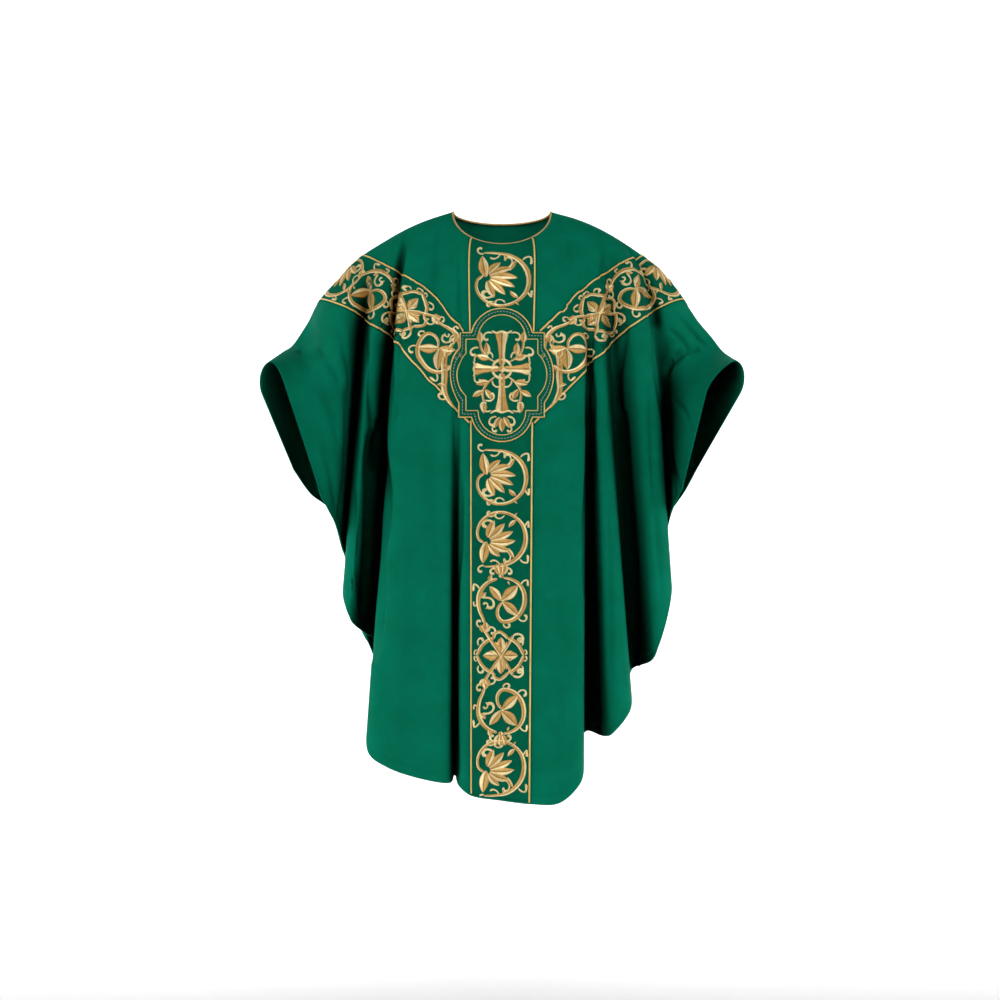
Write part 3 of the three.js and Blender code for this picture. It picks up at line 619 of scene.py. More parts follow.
def thread_material(name, dark, middle, light, metallic, roughness, pitch):
    """Laid metal thread. The threads map runs along a stroke, so its ridges are the single threads. Its colour runs
    from the dark one between the threads to the light one on their ridges, painted shade and painted highlight, with
    a random tone from noise.
    """
    made, tree, shader = material(name, Metallic=metallic, Roughness=roughness)
    ridges = wave(tree, threads_map(tree, 1 / pitch, 0.55 / pitch), "DIAGONAL", Distortion=0.6, Detail=1)
    # painted shade and painted highlight along the thread ridges, times a random tone
    both = reckon(tree, "MULTIPLY", noise(tree, 55, 3), ridges)
    tree.links.new(ramp(tree, both, (0.01, dark), (0.17, middle), (0.46, light)), shader.inputs["Base Color"])
    bump(tree, shader, ridges, 0.5, 0.0006)
    return made


GREEN = cloth_material("green_cloth", (0, 101, 75), (0, 106, 80), (0, 111, 85))
BAND_GREEN = cloth_material("band_cloth", (0, 84, 61), (0, 90, 66), (0, 96, 71))
# name, dark, middle and light colour, metallic, roughness, and the pitch of the threads in mm; dark is painted shade
# between the threads and light is painted highlight on their ridges
THREADS = [
    ("gold_thread", (140, 96, 34), (244, 206, 118), (255, 250, 204), 0.42, 0.3, 0.9),
    # the darkest gold: a darker outline along each stroke's edges, and painted shade in its middle groove
    ("gold_thread_outline_and_groove_shade", (84, 46, 12), (136, 86, 30), (188, 138, 66), 0.2, 0.45, 0.9),
    # a darker copy of the gold: painted shade on one half of each stem and leaf
    ("gold_thread_painted_shade", (124, 80, 28), (190, 144, 68), (228, 186, 104), 0.3, 0.36, 0.9),
    ("gold_braid", (166, 116, 46), (222, 176, 86), (250, 216, 134), 0.2, 0.4, 1.6),
    ("piping", (140, 104, 54), (196, 156, 88), (226, 192, 124), 0.1, 0.55, 2.2),
    ("grey_thread", (96, 100, 96), (140, 142, 136), (176, 176, 168), 0.3, 0.5, 0.9),
]
*GOLDS, BRAID, PIPING, GREY = [thread_material(*row) for row in THREADS]


def dressed(made, slot, *nodes):
    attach(made, "root")
    if nodes:
        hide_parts(*nodes)
    return made


# ---- the body cloth
CLOTH_THICK, HEM_THICK = 1.8, 3.1
BAND_TOP, BAND_UNDER = 1.3, 0.2
PIPING_RADIUS = 2.6
for name, cloth in cloths.items():
    hem = np.clip((cloth.vs - HEM_SEAM + 0.0005) / 0.001, 0, 1)[:, None, None]
    groove = np.exp(-((cloth.vs - HEM_SEAM) / 0.0006) ** 2)[:, None, None]
    uv = flat_sizes(cloth.points)
    inner = cloth.points - cloth.normals * (CLOTH_THICK + (HEM_THICK - CLOTH_THICK) * hem)
    cloth.points = cloth.points - cloth.normals * 0.5 * groove
    made = shell(f"cloth_{name}", cloth.points, inner, name == "front", [GREEN], uv)
    dressed(made, "green_cloth", f"{name}_panel")


# ---- bands and piping
def band(name, cloth, seat, v, flip, *nodes):
    """A strip of band cloth on lattices of places."""
    outer, inner = (cloth.lay(seat, v, np.full(seat.shape, height)) for height in (BAND_TOP, BAND_UNDER))
    return dressed(shell(name, outer, inner, flip, [BAND_GREEN], flat_sizes(outer)), "band_cloth", *nodes)


for name, cloth in cloths.items():
    seat, v = np.meshgrid(np.linspace(-PILLAR_SEAT, PILLAR_SEAT, 41), np.linspace(0.004, 0.996, 240))
    band(f"pillar_{name}", cloth, seat, v, name == "front", f"orphrey_pillar_{name}")


def neck_edge():
    """The raw edge of both walls round the neck, and the way that each point of it faces."""
    ring, ups = [], []
    for name, way in (("front", 1), ("back", -1)):
        points, normals = cloths[name].points, cloths[name].normals
        on = np.flatnonzero(np.abs(cloths[name].seats) <= NECK_SEAT)[::way][:-1]
        ring.append(points[0, on] - normals[0, on] * CLOTH_THICK / 2)
        ups.append(unit(points[0, on] - points[2, on]))
    ups = np.concatenate(ups)
    for _ in range(6):
        ups = unit(np.roll(ups, 1, 0) + ups * 2 + np.roll(ups, -1, 0))
    return np.concatenate(ring), ups


def rope(name, ring, ups, radius, slots):
    """A closed twisted cord round a ring of points."""
    strands, twist, sides, step = 2, 5.5, 10, 1.6
    line = np.r_[ring, ring[:1]] + np.r_[ups, ups[:1]] * radius * 0.9
    gone = lengths(line)
    count = int(gone[-1] / step)
    wanted = np.arange(count) * gone[-1] / count
    line = along(line, gone, wanted)
    ahead = unit(np.roll(line, -1, 0) - np.roll(line, 1, 0))
    up = unit(np.cross(np.cross(ahead, UP), ahead))
    angle = np.linspace(0, 2 * math.pi, sides, endpoint=False)
    turns = round(gone[-1] / twist / strands) * 2 * math.pi * np.arange(count)[:, None] / count
    wide = radius * (0.86 + 0.14 * np.cos(strands * (angle - turns)))[..., None]
    round_it = np.cross(ahead, up)[:, None] * np.cos(angle)[:, None] + up[:, None] * np.sin(angle)[:, None]
    n = np.arange(count)[:, None] * sides
    m = (n + sides) % (count * sides)
    k, j = np.arange(sides), (np.arange(sides) + 1) % sides
    faces = np.stack([m + k, m + j, n + j, n + k], -1).reshape(-1, 4)
    uv = np.stack(np.broadcast_arrays(wanted[:, None], angle * radius), -1)
    return make_mesh(name, (line[:, None] + round_it * wide).reshape(-1, 3), faces, slots, uv.reshape(-1, 2))


dressed(rope("neck_rope", *neck_edge(), PIPING_RADIUS, [PIPING]), "piping", "neck_piping")


def arm_ends(ground, side):
    """For each line of an arm's ground, where it leaves the pillar and where it leaves the wall."""
    gone = ground.a
    first, last = [], []
    for column in range(len(ground.b)):
        seat, v = side * ground.seats[:, column], ground.vs[:, column]
        k = int(np.argmax(seat > PILLAR_SIDE))
        first.append(np.interp(PILLAR_SIDE, seat[k - 1:k + 1], gone[k - 1:k + 1]) if k else gone[0])
        off = np.flatnonzero((v < 0) & (gone > first[-1]))
        m = off[0] if len(off) else len(gone) - 1
        last.append(np.interp(0, [-v[m - 1], -v[m]], [gone[m - 1], gone[m]]) if len(off) else gone[-1])
    return np.array(first), np.array(last)


PILLAR_SIDE = PILLAR_SEAT * (1 + 0.6 / BAND_WIDTH)
SIDE_NAMES = {-1: "right", 1: "left"}
reaches = {}
for (name, side), ground in arms.items():
    first, last = reaches[name, side] = arm_ends(ground, side)
    s = first + (last - first) * np.linspace(0, 1, 150)[:, None]
    seat, v = ground.place(s, np.broadcast_to(ground.b, s.shape))
    label = f"{name}_{SIDE_NAMES[side]}"
    flip = (side > 0) != (name == "front")
    band(f"arm_{label}", cloths[name], seat, np.clip(v, 0, 1), flip, f"orphrey_arm_{label}")


class Strokes:
    """Gathers raised strokes on one ground and makes one mesh of them."""

    def __init__(self, ground, bottom):
        self.ground, self.bottom = ground, bottom
        self.points, self.uv, self.faces, self.which, self.count = [], [], [], [], 0
        a, b = ground.a[len(ground.a) // 2], ground.b[len(ground.b) // 2]
        (here, right, up), _ = ground.lay(np.array([[a, b], [a + 1, b], [a, b + 1]]), np.zeros(3))
        (above,), _ = ground.lay(np.array([[a, b]]), np.array([1.0]))
        self.flip = np.cross(right - here, up - here) @ (above - here) > 0

    def add(self, path, width, profile, lift=0.0):
        """One stroke. Narrow ones are lower, and what runs past the wall's top or hem is left out."""
        ahead = np.gradient(path, axis=0)
        square = unit(np.stack([-ahead[:, 1], ahead[:, 0]], 1))
        across, rise, slots = zip(*profile)
        off = across * width[:, None] / 2
        height = self.bottom + (np.array(rise) + lift) * np.clip(width / 3.5, 0.4, 1)[:, None]
        placed, v = self.ground.lay(path[:, None] + square[:, None] * off[..., None], height)
        n, m = off.shape
        alive = (v.min(1) > 0.0015) & (v.max(1) < 0.997)
        u = np.broadcast_to(lengths(path)[:, None], (n, m)) + self.count * 0.37
        self.points.append(placed.reshape(-1, 3))
        self.uv.append(np.stack([u, off], -1).reshape(-1, 2))
        for k in range(n - 1):
            if not (alive[k] and alive[k + 1]):
                continue
            ring = [self.count + k * m + c for c in range(m)]
            self.faces += [(p, q, q + m, p + m) for p, q in zip(ring, ring[1:] + ring[:1])]
            self.which += [*slots[:-1], 0]
            if k == 0 or not alive[k - 1]:
                self.faces.append(ring[::-1])
                self.which.append(0)
            if k == n - 2 or not alive[k + 2]:
                self.faces.append([p + m for p in ring])
                self.which.append(0)
        self.count += n * m

    def make(self, name, slots):
        points, uv = np.concatenate(self.points), np.concatenate(self.uv)
        used = np.unique([i for f in self.faces for i in f])
        renumber = np.zeros(len(points), int)
        renumber[used] = np.arange(len(used))
        faces = [renumber[list(f)][::-1 if self.flip else 1] for f in self.faces]
        return make_mesh(name, points[used], faces, slots, uv[used], self.which)


# profiles: across from -1 to 1, height in mm, material of the face that follows. Material 2, a darker copy of the
# gold on one half of each stem and leaf, is painted shade, as if the light came from the other side.
CORD = [(-1, -0.3, 0), (-0.8, 0.6, 0), (-0.35, 1.0, 0), (0.35, 1.0, 0), (0.8, 0.6, 0), (1, -0.3, 0)]
# material 1, the darkest gold, is a darker outline along the edges and painted shade in the middle groove
STEM = [
    (-1, -0.3, 1), (-0.88, 0.8, 0), (-0.52, 1.4, 0), (-0.15, 0.8, 1), (0.15, 0.8, 2), (0.52, 1.4, 2), (0.88, 0.8, 1),
    (1, -0.3, 0),
]
LEAF = [
    (-1, -0.3, 1), (-0.86, 0.6, 0), (-0.5, 1.7, 0), (-0.13, 0.8, 1), (0.13, 0.8, 2), (0.5, 1.7, 2), (0.86, 0.6, 1),
    (1, -0.3, 0),
]


def medallion_outline(inset, steps=10):
    """The medallion's outline, a square with a lobe on each side, made smaller by an inset."""
    half = HALF_BOX - inset
    points = []
    for side in range(4):
        rise = SIDE_RISE if side % 2 else END_RISE
        chord = (SIDE_CHORD if side % 2 else END_CHORD) - inset
        radius = (chord * chord + rise * rise) / (2 * rise)
        opening = math.atan2(chord, radius - rise)
        angles = np.linspace(-opening, opening, steps)
        run = np.r_[
            [[-half, half]], [[(-half - chord) / 2, half]],
            np.stack([radius * np.sin(angles), half + rise - radius + radius * np.cos(angles)], 1),
            [[(half + chord) / 2, half]],
        ]
        points.append(turned(run, -side * math.pi / 2))
    return np.concatenate(points) + [0, MEDALLION_Z]


def inside(flat, outline):
    x, y = flat[..., 0], flat[..., 1]
    odd = np.zeros(x.shape, bool)
    for p, q in zip(outline, np.roll(outline, -1, 0)):
        crosses = (p[1] > y) != (q[1] > y)
        odd ^= crosses & (x < p[0] + (y - p[1]) / (q[1] - p[1] + 1e-12) * (q[0] - p[0]))
    return odd


MEDALLION_EDGE = medallion_outline(-0.6)


def line(a0, b0, a1, b1):
    count = max(3, int(math.hypot(a1 - a0, b1 - b0) / 2) + 1)
    return np.stack([np.linspace(a0, a1, count), np.linspace(b0, b1, count)], 1)


def clear_of_medallion(path, ground):
    """The part of a path on the front that the medallion doesn't cover."""
    spot, _ = ground.lay(path, np.zeros(len(path)))
    return path[~inside(spot[:, [0, 2]], MEDALLION_EDGE)]


# The braids lie on both edges of the pillars and the arms.
BRAID_MIDDLE, BRAID_WIDTH = HALF_BAND - 4, 3.8
for name in cloths:
    parts = [line(side * BRAID_MIDDLE, -20, side * BRAID_MIDDLE, -1252) for side in (-1, 1)]
    if name == "front":
        parts = [part[way * (part[:, 1] - MEDALLION_Z) > 0] for part in parts for way in (1, -1)]
    works = [(f"braid_pillar_{name}", pillars[name], parts)]
    for side in (-1, 1):
        parts = []
        for t in (-BRAID_MIDDLE, BRAID_MIDDLE):
            first, last = (np.interp(t, arms[name, side].b, ends) for ends in reaches[name, side])
            parts.append(line(first, t, last, t))
        works.append((f"braid_arm_{name}_{SIDE_NAMES[side]}", arms[name, side], parts))
    for label, ground, parts in works:
        strokes = Strokes(ground, BAND_TOP)
        for part in parts:
            part = clear_of_medallion(part, ground) if name == "front" else part
            strokes.add(part, np.full(len(part), BRAID_WIDTH), CORD)
        dressed(strokes.make(label, [BRAID]), "gold_braid", *(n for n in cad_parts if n.startswith(label)))

# ---- the medallion
MEDALLION_TOP = 2.9


def plate(name, outline, ground, low, high, slots):
    """A cut-out piece of cloth on a ground, from its outline."""
    ticks = [np.arange(low, high, 5.0) for low, high in zip(outline.min(0), outline.max(0))]
    grid = np.stack(np.meshgrid(*ticks), -1).reshape(-1, 2)
    middle = MEDALLION_EDGE.mean(0)
    flat = np.r_[outline, grid[inside(grid, middle + (outline - middle) * 0.97)]]
    ring = list(range(len(outline)))
    flat, _, faces, *_ = delaunay_2d_cdt([tuple(map(float, p)) for p in flat], [], [ring], 1, 1e-5)
    flat = np.array([[p[0], p[1]] for p in flat])
    n = len(flat)
    edges = {}
    for f in faces:
        for a, b in zip(f, [*f[1:], f[0]]):
            if (b, a) in edges:
                del edges[b, a]
            else:
                edges[a, b] = True
    every = [list(f) for f in faces] + [[i + n for i in f[::-1]] for f in faces]
    every += [[b, a, a + n, b + n] for a, b in edges]
    points = np.concatenate([ground.lay(flat, np.full(n, height))[0] for height in (high, low)])
    return make_mesh(name, points, every, slots, np.r_[flat, flat])


made = plate("medallion_cloth", medallion_outline(0.3, 14), medallion_ground, 1.5, MEDALLION_TOP, [BAND_GREEN])
dressed(made, "band_cloth", "medallion")


def border_path(inset, step):
    """A line round the medallion, an inset inside its edge."""
    ring = medallion_outline(inset, 14)
    ring = np.r_[ring, ring[:1]]
    gone = lengths(ring)
    return along(ring, gone, np.linspace(0, gone[-1], int(gone[-1] / step)))


strokes = Strokes(medallion_ground, MEDALLION_TOP)
for inset, width in ((2.0, 2.6), (15.6, 2.0)):
    path = border_path(inset, 2.2)
    strokes.add(path, np.full(len(path), width), CORD)
dressed(strokes.make("medallion_cords", [BRAID]), "gold_braid", "medallion_line")
strokes = Strokes(medallion_ground, MEDALLION_TOP)
path = border_path(8.4, 1.3)
for k in range(0, len(path) - 3, 5):
    strokes.add(path[k:k + 4], np.full(4, 2.0), CORD)
dressed(strokes.make("medallion_dashes", [GREY]), "gold_braid")


# ---- embroidery
def swell(*widths):
    return lambda share: np.interp(share, np.linspace(0, 1, len(widths)), widths)


def stem(points, *widths):
    return "stem", np.array(points, float), swell(*widths)


def cord(points, *widths):
    return "cord", np.array(points, float), swell(*widths)


def leaf(x, y, angle, length, width, bend=0.0):
    """A pointed leaf from x, y that bends by so many degrees on its way."""
    steps = np.linspace(0, 1, 7)
    turn = np.radians(angle + bend * (steps - 0.15))
    run = np.stack([np.cos(turn), np.sin(turn)], 1) * length / 6
    points = np.r_[[[x, y]], [x, y] + np.cumsum(run[1:], 0)]
    shape = np.array([0.28, 0.62, 0.92, 1.0, 0.86, 0.56, 0.1])
    return "leaf", points, swell(*(shape * width))


def curl(x, y, angle, size, turn=1, width=2.6):
    """A tendril that leaves x, y at an angle and rolls up into a bead."""
    steps = np.linspace(0, 1, 16)
    heading = np.radians(angle) + turn * np.radians(300) * steps ** 1.25
    stride = size * (1.25 - steps) * 0.27
    run = np.stack([np.cos(heading), np.sin(heading)], 1) * stride[:, None]
    points = [x, y] + np.cumsum(run, 0)
    return "cord", points, swell(width, width, width * 0.9, width * 1.1, width * 1.5, width * 1.6)


def fan():
    """A scroll that ends in a flower of spreading petals."""
    return [
        stem([(-34, 58), (-12, 57), (12, 53), (33, 40), (47, 20), (51, -4), (44, -28), (26, -46), (4, -54),
              (-18, -52), (-37, -38), (-47, -18), (-45, 0), (-34, 9)], 3, 5, 8, 9.5, 8, 6, 5.5, 5.5, 5.5, 5),
        leaf(-29, 6, 104, 46, 17, -12), leaf(-25, 12, 62, 34, 12, -34), leaf(-23, 10, 34, 46, 13, -36),
        leaf(-22, 7, 8, 52, 14, -26), leaf(-22, 3, -16, 50, 14, -12), leaf(-24, 0, -44, 44, 14, -4),
        leaf(-27, -2, -76, 38, 14, 14), curl(6, 24, 24, 14, 1),
        curl(-13, -27, -120, 13, -1, 4),
        curl(36, 38, 60, 15, -1, 3.2), leaf(27, 40, 226, 24, 8, 34), curl(47, -20, -70, 16, 1, 3.2),
        leaf(31, -38, 150, 22, 8, -30), curl(8, -52, 118, 12, 1), leaf(24, -44, -52, 13, 4, 12),
        curl(-30, 57, 196, 10, -1, 3), leaf(4, 54, -60, 13, 5, -20), curl(-12, -50, 140, 9, 1),
        cord([(-2, 57), (-8, 48), (-16, 45), (-22, 48)], 2.2, 2.6, 3.6),
    ]


def trefoil():
    """Two stems that part at a bud. One rolls up round three leaves, and the other goes on."""
    return [
        stem([(4, 48), (20, 45), (37, 35), (48, 17), (49, -5), (40, -26), (22, -40), (2, -42), (-7, -30), (-6, -14),
              (2, -3)], 4, 6, 8, 9, 9, 8, 7, 6, 5),
        stem([(-8, 46), (-26, 38), (-40, 22), (-46, 2), (-43, -20), (-36, -36), (-33, -46)], 5, 7, 9, 8, 6, 5),
        leaf(0, 0, 124, 38, 14, 8), leaf(2, 2, 38, 44, 20, 10), leaf(3, -2, -38, 44, 17, -8),
        cord([(0, 0), (4, 1), (6, -2), (3, -4), (0, -2)], 3, 3, 3),
        curl(-41, 20, 112, 15, 1, 3.4), curl(-42, 4, 20, 17, -1, 3.6), leaf(-42, 6, 40, 17, 8, 10),
        curl(40, 30, 70, 13, -1, 3), curl(34, -32, -60, 12, 1, 3), curl(-46, -4, 236, 9, -1, 2.8),
        curl(4, -44, -84, 9, 1, 3), leaf(-24, 39, 78, 16, 8, -10), leaf(14, 42, -70, 10, 4, 10),
        curl(-33, -18, 30, 8, 1),
    ]


def bud():
    """Three short petals and two tendrils that hide a joint of the stems."""
    return [
        leaf(0, -9, 90, 26, 14, 0), leaf(-3, -8, 122, 24, 11, -36), leaf(3, -8, 58, 24, 11, 36),
        curl(-7, 4, 160, 9, 1, 3.4), curl(7, 4, 20, 9, -1, 3.4), leaf(0, -6, -90, 9, 10, 0),
    ]


def small_bud():
    return [
        leaf(0, -9, 80, 23, 14, 8), leaf(0, -8, 130, 18, 9, -30), leaf(0, -8, 42, 18, 9, 30),
        curl(-5, 2, 172, 9, -1, 3.2), curl(6, 2, 12, 10, -1, 3.2),
    ]


def knot():
    """Two straps that cross, woven through a lozenge, with a petal in each quarter."""
    quarters = []
    for side in (-1, 1):
        quarters += [
            stem([(side * 14, 36), (side * 26, 31), (side * 38, 20), (side * 49, 0)], 6, 6.5, 6.5, 6),
            stem([(side * 49, 0), (side * 38, -20), (side * 26, -31), (side * 14, -36)], 6, 6.5, 6.5, 6),
            leaf(side * 5, 0, 90 - side * 90, 31, 16, 0), leaf(side * 8, 2, 90 - side * 60, 17, 7, 0),
            leaf(side * 8, -2, -90 + side * 60, 17, 7, 0),
            curl(side * 42, 18, 90 - side * 42, 10, side, 3), curl(side * 42, -18, -90 + side * 42, 10, -side, 3),
            curl(side * 46, 10, 90 - side * 70, 7, -side, 2.6), curl(side * 46, -10, -90 + side * 70, 7, side, 2.6),
        ]
    for way in (-1, 1):
        quarters += [
            stem([(-15, way * 35), (-13, way * 45), (-3, way * 49), (7, way * 43), (15, way * 35)], 6, 6, 5.5, 6, 6),
            leaf(0, way * 6, way * 90, 32, 17, 0), leaf(-2, way * 8, way * 112, 23, 9, way * 12),
            leaf(2, way * 8, way * 68, 23, 9, -way * 12),
            curl(22, way * 38, way * 40, 14, -way, 4),
        ]
    quarters += [
        stem([(-33, 52), (-17, 26), (0, 0), (17, -26), (26, -42)], 5, 5.5, 5.5, 5.5, 5),
        stem([(-33, -52), (-17, -26), (0, 0), (17, 26), (26, 42)], 5, 5.5, 5.5, 5.5, 5),
    ]
    return quarters


# kind: its profile, and how much wider than drawn it is sewn
PROFILES = {"stem": (STEM, 1.2), "leaf": (LEAF, 1.25), "cord": (CORD, 1.25)}
STROKE_STEP, LEAST_WIDTH, MOST_GROWTH = 2.4, 0.7, 1.35
LAYER = 0.06  # the strokes of a motif lie in five layers, so no two that cross are level


# A held motif stays this far from its band's middle, in mm, and may pass it by up to HELD_SOFT.
HELD, HELD_SOFT = 48, 9


def embroider(strokes, motif, at, turn=0.0, size=1.0, mirror=(1, 1), swap=False, held=True):
    """Adds a motif to strokes at a flat point, turned by degrees. A held one is kept inside its band."""
    for k, (kind, points, width) in enumerate(motif):
        p = turned(points * mirror * size, math.radians(turn))
        across = p[:, 0] + at[swap]
        over = np.maximum(np.abs(across) - HELD, 0)
        if held:
            kept = np.sign(across) * (HELD + HELD_SOFT * np.tanh(over / HELD_SOFT)) - at[swap]
            p[:, 0] = np.where(over > 0, kept, p[:, 0])
        if swap:
            p = p[:, ::-1]
        path = Spline(p + at).by_length(STROKE_STEP)
        share = np.linspace(0, 1, len(path))
        profile, wider = PROFILES[kind]
        ends = np.minimum(1, np.sqrt(np.minimum(share, 1 - share) * len(path) / 1.6 + 0.08))
        wide = width(share) * min(size, MOST_GROWTH) * wider * ends
        strokes.add(path, np.maximum(wide, LEAST_WIDTH), profile, LAYER * (k % 5))


# motif, height of its middle, and 1 or -1 for upright or turned over
PILLAR_ROWS = {
    "front": [
        (fan, -160, 1), (fan, -573, 1), (fan, -699, -1), (trefoil, -828, 1), (knot, -941, 1), (trefoil, -1054, -1),
        (fan, -1172, -1), (bud, -766, 1), (small_bud, -885, 1), (small_bud, -997, -1), (bud, -1112, -1),
    ],
    "back": [
        (fan, -90, 1), (fan, -212, -1), (trefoil, -330, 1), (knot, -444, 1), (trefoil, -558, -1), (fan, -680, -1),
        (fan, -806, 1), (trefoil, -924, 1), (knot, -1037, 1), (trefoil, -1150, -1), (bud, -272, 1),
        (small_bud, -387, 1), (small_bud, -501, -1), (bud, -618, -1), (bud, -866, 1), (small_bud, -981, 1),
        (small_bud, -1093, -1),
    ],
}
# the same for an arm, by the way along it from its first motif
ARM_ROWS = [
    (trefoil, 0, -1), (knot, 110, 1), (trefoil, 212, 1), (fan, 310, 1), (small_bud, 55, -1), (small_bud, 165, 1),
]
SMALL_BUD_X = -33


def pillar_embroidery(name):
    strokes = Strokes(pillars[name], BAND_TOP)
    for motif, z, way in PILLAR_ROWS[name]:
        embroider(strokes, motif(), (SMALL_BUD_X if motif is small_bud else 0, z), mirror=(1, way))
    return strokes.make(f"embroidery_pillar_{name}", GOLDS)


def arm_embroidery(name, side):
    strokes = Strokes(arms[name, side], BAND_TOP)
    begin = 190 if name == "front" else 172
    for motif, s, way in ARM_ROWS:
        at = begin + s, SMALL_BUD_X if motif is small_bud else 0
        embroider(strokes, motif(), at, mirror=(1, way), swap=True)
    return strokes.make(f"embroidery_arm_{name}_{SIDE_NAMES[side]}", GOLDS)


def medallion_embroidery():
    """A flared cross with a leaf sprig in each quarter and one below."""
    strokes = Strokes(medallion_ground, MEDALLION_TOP)
    arm = [
        ("leaf", np.array([(0, y) for y in (4.0, 16, 28, 40)]), swell(9, 8, 11, 19)),
        cord([(-11, 42), (-6, 39.5), (0, 41), (6, 39.5), (11, 42)], 2.4, 3.2, 2.4),
        curl(-8, 38, 150, 7, 1, 2.2), curl(8, 38, 30, 7, -1, 2.2),
    ]
    centre = (0, MEDALLION_Z + 12)
    side_size = 1.42
    for turn, size in ((0, 1.9), (90, side_size), (180, 2.2), (270, side_size)):
        embroider(strokes, arm, centre, turn, size, held=False)
    ring = [(13 * math.cos(a), 13 * math.sin(a)) for a in np.linspace(0, 2 * math.pi, 13)]
    boss = [cord(ring, 3.4, 3.4), leaf(0, -6, 90, 13, 9), leaf(-6, 0, 0, 13, 9)]
    embroider(strokes, boss, centre, 0, 1.5, held=False)
    for side in (-1, 1):
        sprig = [
            stem([(10, 10), (20, 16), (29, 27), (32, 40)], 2, 3.6, 3), leaf(18, 15, 8, 20, 9, 20),
            leaf(22, 19, 96, 20, 9, -20), leaf(31, 38, 84, 17, 9, 8), curl(31, 30, 20, 9, -1, 2.4),
            curl(14, 13, 100, 8, -1, 2.2),
        ]
        embroider(strokes, sprig, centre, 0, side_size, (side, 1), held=False)
        low = [
            stem([(9, -11), (20, -20), (28, -34), (26, -50)], 2, 3.6, 3), leaf(19, -19, -2, 19, 9, -22),
            leaf(27, -32, -24, 18, 8, -10), leaf(24, -30, -128, 17, 8, 20), leaf(26, -48, -84, 17, 9, -12),
            curl(14, -14, -88, 9, -1, 2.3), curl(27, -44, -150, 9, -1, 2.4),
        ]
        embroider(strokes, low, centre, 0, side_size, (side, 1), held=False)
    foot = [
        leaf(0, -2, -90, 26, 11), leaf(-3, 0, -128, 24, 9, 24), leaf(3, 0, -52, 24, 9, -24),
        curl(-6, 0, 170, 12, 1, 2.8), curl(6, 0, 10, 12, -1, 2.8), curl(-10, -14, 200, 8, 1),
        curl(10, -14, -20, 8, -1),
    ]
    embroider(strokes, foot, (0, MEDALLION_Z - 88), 0, 1.1, held=False)
    return strokes.make("embroidery_medallion", GOLDS)


def border_embroidery():
    """The heavy stems that follow the medallion's outside on the bands."""
    strokes = Strokes(medallion_ground, BAND_TOP)
    for side in (-1, 1):
        hug = [
            stem([(100, 66), (113, 50), (120, 28), (119, 0), (120, -30), (112, -52), (99, -70)],
                 5, 10, 12, 12, 11, 8, 3),
            leaf(117, 34, 60, 24, 9, 20), leaf(118, 6, 120, 20, 8, 30), leaf(117, -24, 30, 18, 7, -40),
            curl(112, -46, -40, 11, 1, 3), curl(104, 62, 60, 12, 1, 3), leaf(116, 40, 140, 16, 6, 20),
        ]
        embroider(strokes, hug, (0, MEDALLION_Z), 0, 1.0, (side, 1), held=False)
    return strokes.make("embroidery_border", GOLDS)


dressed(medallion_embroidery(), "gold_braid")
dressed(border_embroidery(), "gold_braid")
for name in cloths:
    dressed(pillar_embroidery(name), "gold_braid")
    for side in (-1, 1):
        dressed(arm_embroidery(name, side), "gold_braid")

# ---- camera, light and floor
scene = bpy.context.scene
camera = bpy.data.objects.new("camera", bpy.data.cameras.new("camera"))
camera.data.sensor_width = 36
camera.data.lens = 18 * -EYE[1] / (MIDDLE_PX * MM_PER_PX)
camera.data.clip_end = 60
camera.location = EYE / 1000
camera.rotation_euler = (math.pi / 2, 0, 0)
scene.collection.objects.link(camera)
scene.camera = camera
scene.view_settings.view_transform = "Standard"

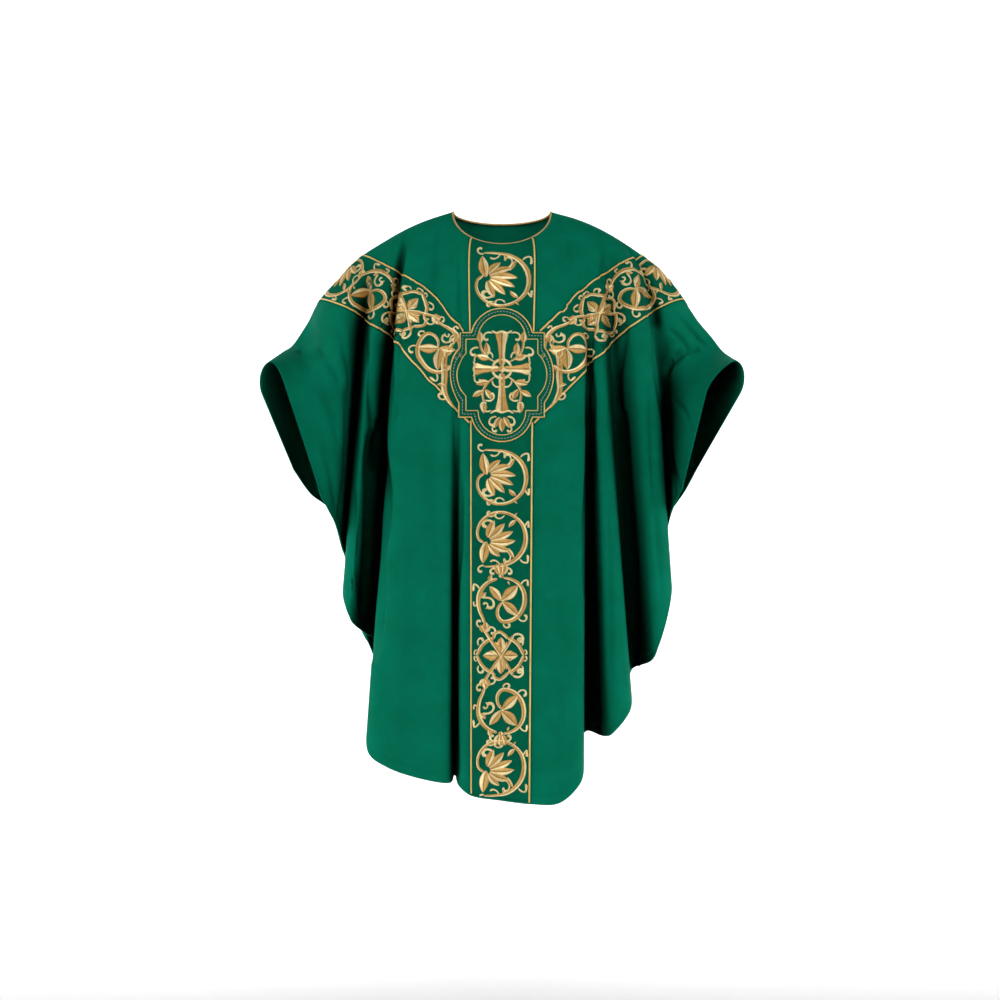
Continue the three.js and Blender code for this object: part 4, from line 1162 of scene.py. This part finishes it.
# name, place and target in m, width and height in m, power in W, and spread in degrees
LIGHTS = [
    ("key", (-2.7, -3.7, 1.5), (0, 0, -0.4), (1.3, 2.0), 122, 180),
    ("fill", (2.7, -3.7, 1.3), (0, 0, -0.4), (1.3, 2.0), 86, 180),
    ("rear", (0, 3.4, 1.3), (0, 0, -0.5), (2.2, 1.6), 26, 180),
]
for label, side in (("right", 1), ("left", -1)):
    LIGHTS += [
        (f"floor_{label}", (side * 2.3, -0.4, -0.6), (side * 0.7, 0.2, -1.545), (0.8, 2.6), 10, 60),
        (f"wall_{label}", (side * 3.4, 2.4, 0.4), (side * 1.6, 4.6, -0.3), (1.5, 2.5), 190, 180),
    ]
for name, spot, target, size, power, spread in LIGHTS:
    data = bpy.data.lights.new(name, "AREA")
    data.shape, data.size, data.size_y, data.energy = "RECTANGLE", *size, power
    data.spread = math.radians(spread)
    light = bpy.data.objects.new(name, data)
    light.location = spot
    x, y, z = np.subtract(spot, target)
    light.rotation_euler = (math.atan2(math.hypot(x, y), z), 0, math.atan2(y, x) + math.pi / 2)
    scene.collection.objects.link(light)

# The world is seen as white, and lights the scene only faintly.
scene.world = bpy.data.worlds.new("studio")
scene.world.use_nodes = True
tree = scene.world.node_tree
faint = tree.nodes["Background"]
faint.inputs["Color"].default_value = (1, 1, 1, 1)
faint.inputs["Strength"].default_value = 0.08
seen = add_node(tree, "Background", Color=(1, 1, 1, 1), Strength=1)
from_camera = add_node(tree, "LightPath").outputs["Is Camera Ray"]
mixer = add_node(tree, "MixShader", {"Fac": from_camera, 1: faint.outputs[0], 2: seen.outputs[0]})
tree.links.new(mixer.outputs["Shader"], tree.nodes["World Output"].inputs["Surface"])

# The floor curves up into a wall behind the garment.
FLOOR_Z, FLOOR_HALF, CURVE_FROM, CURVE = -1545, 4600, 3200, 1500
profile = [(-2000, FLOOR_Z)]
for a in np.linspace(0, math.pi / 2, 12):
    profile.append((CURVE_FROM + CURVE * math.sin(a), FLOOR_Z + CURVE * (1 - math.cos(a))))
profile.append((CURVE_FROM + CURVE, 6000))
points = [[x, y, z] for y, z in profile for x in (-FLOOR_HALF, FLOOR_HALF)]
faces = [(k, k + 1, k + 3, k + 2) for k in range(0, len(points) - 2, 2)]
floor_material, tree, shader = material("floor", Roughness=0.9)
pale = ramp(tree, noise(tree, 0.6, 2), (0.3, (250, 250, 250)), (0.7, (254, 254, 254)))
tree.links.new(pale, shader.inputs["Base Color"])
make_mesh("floor", points, faces, [floor_material])
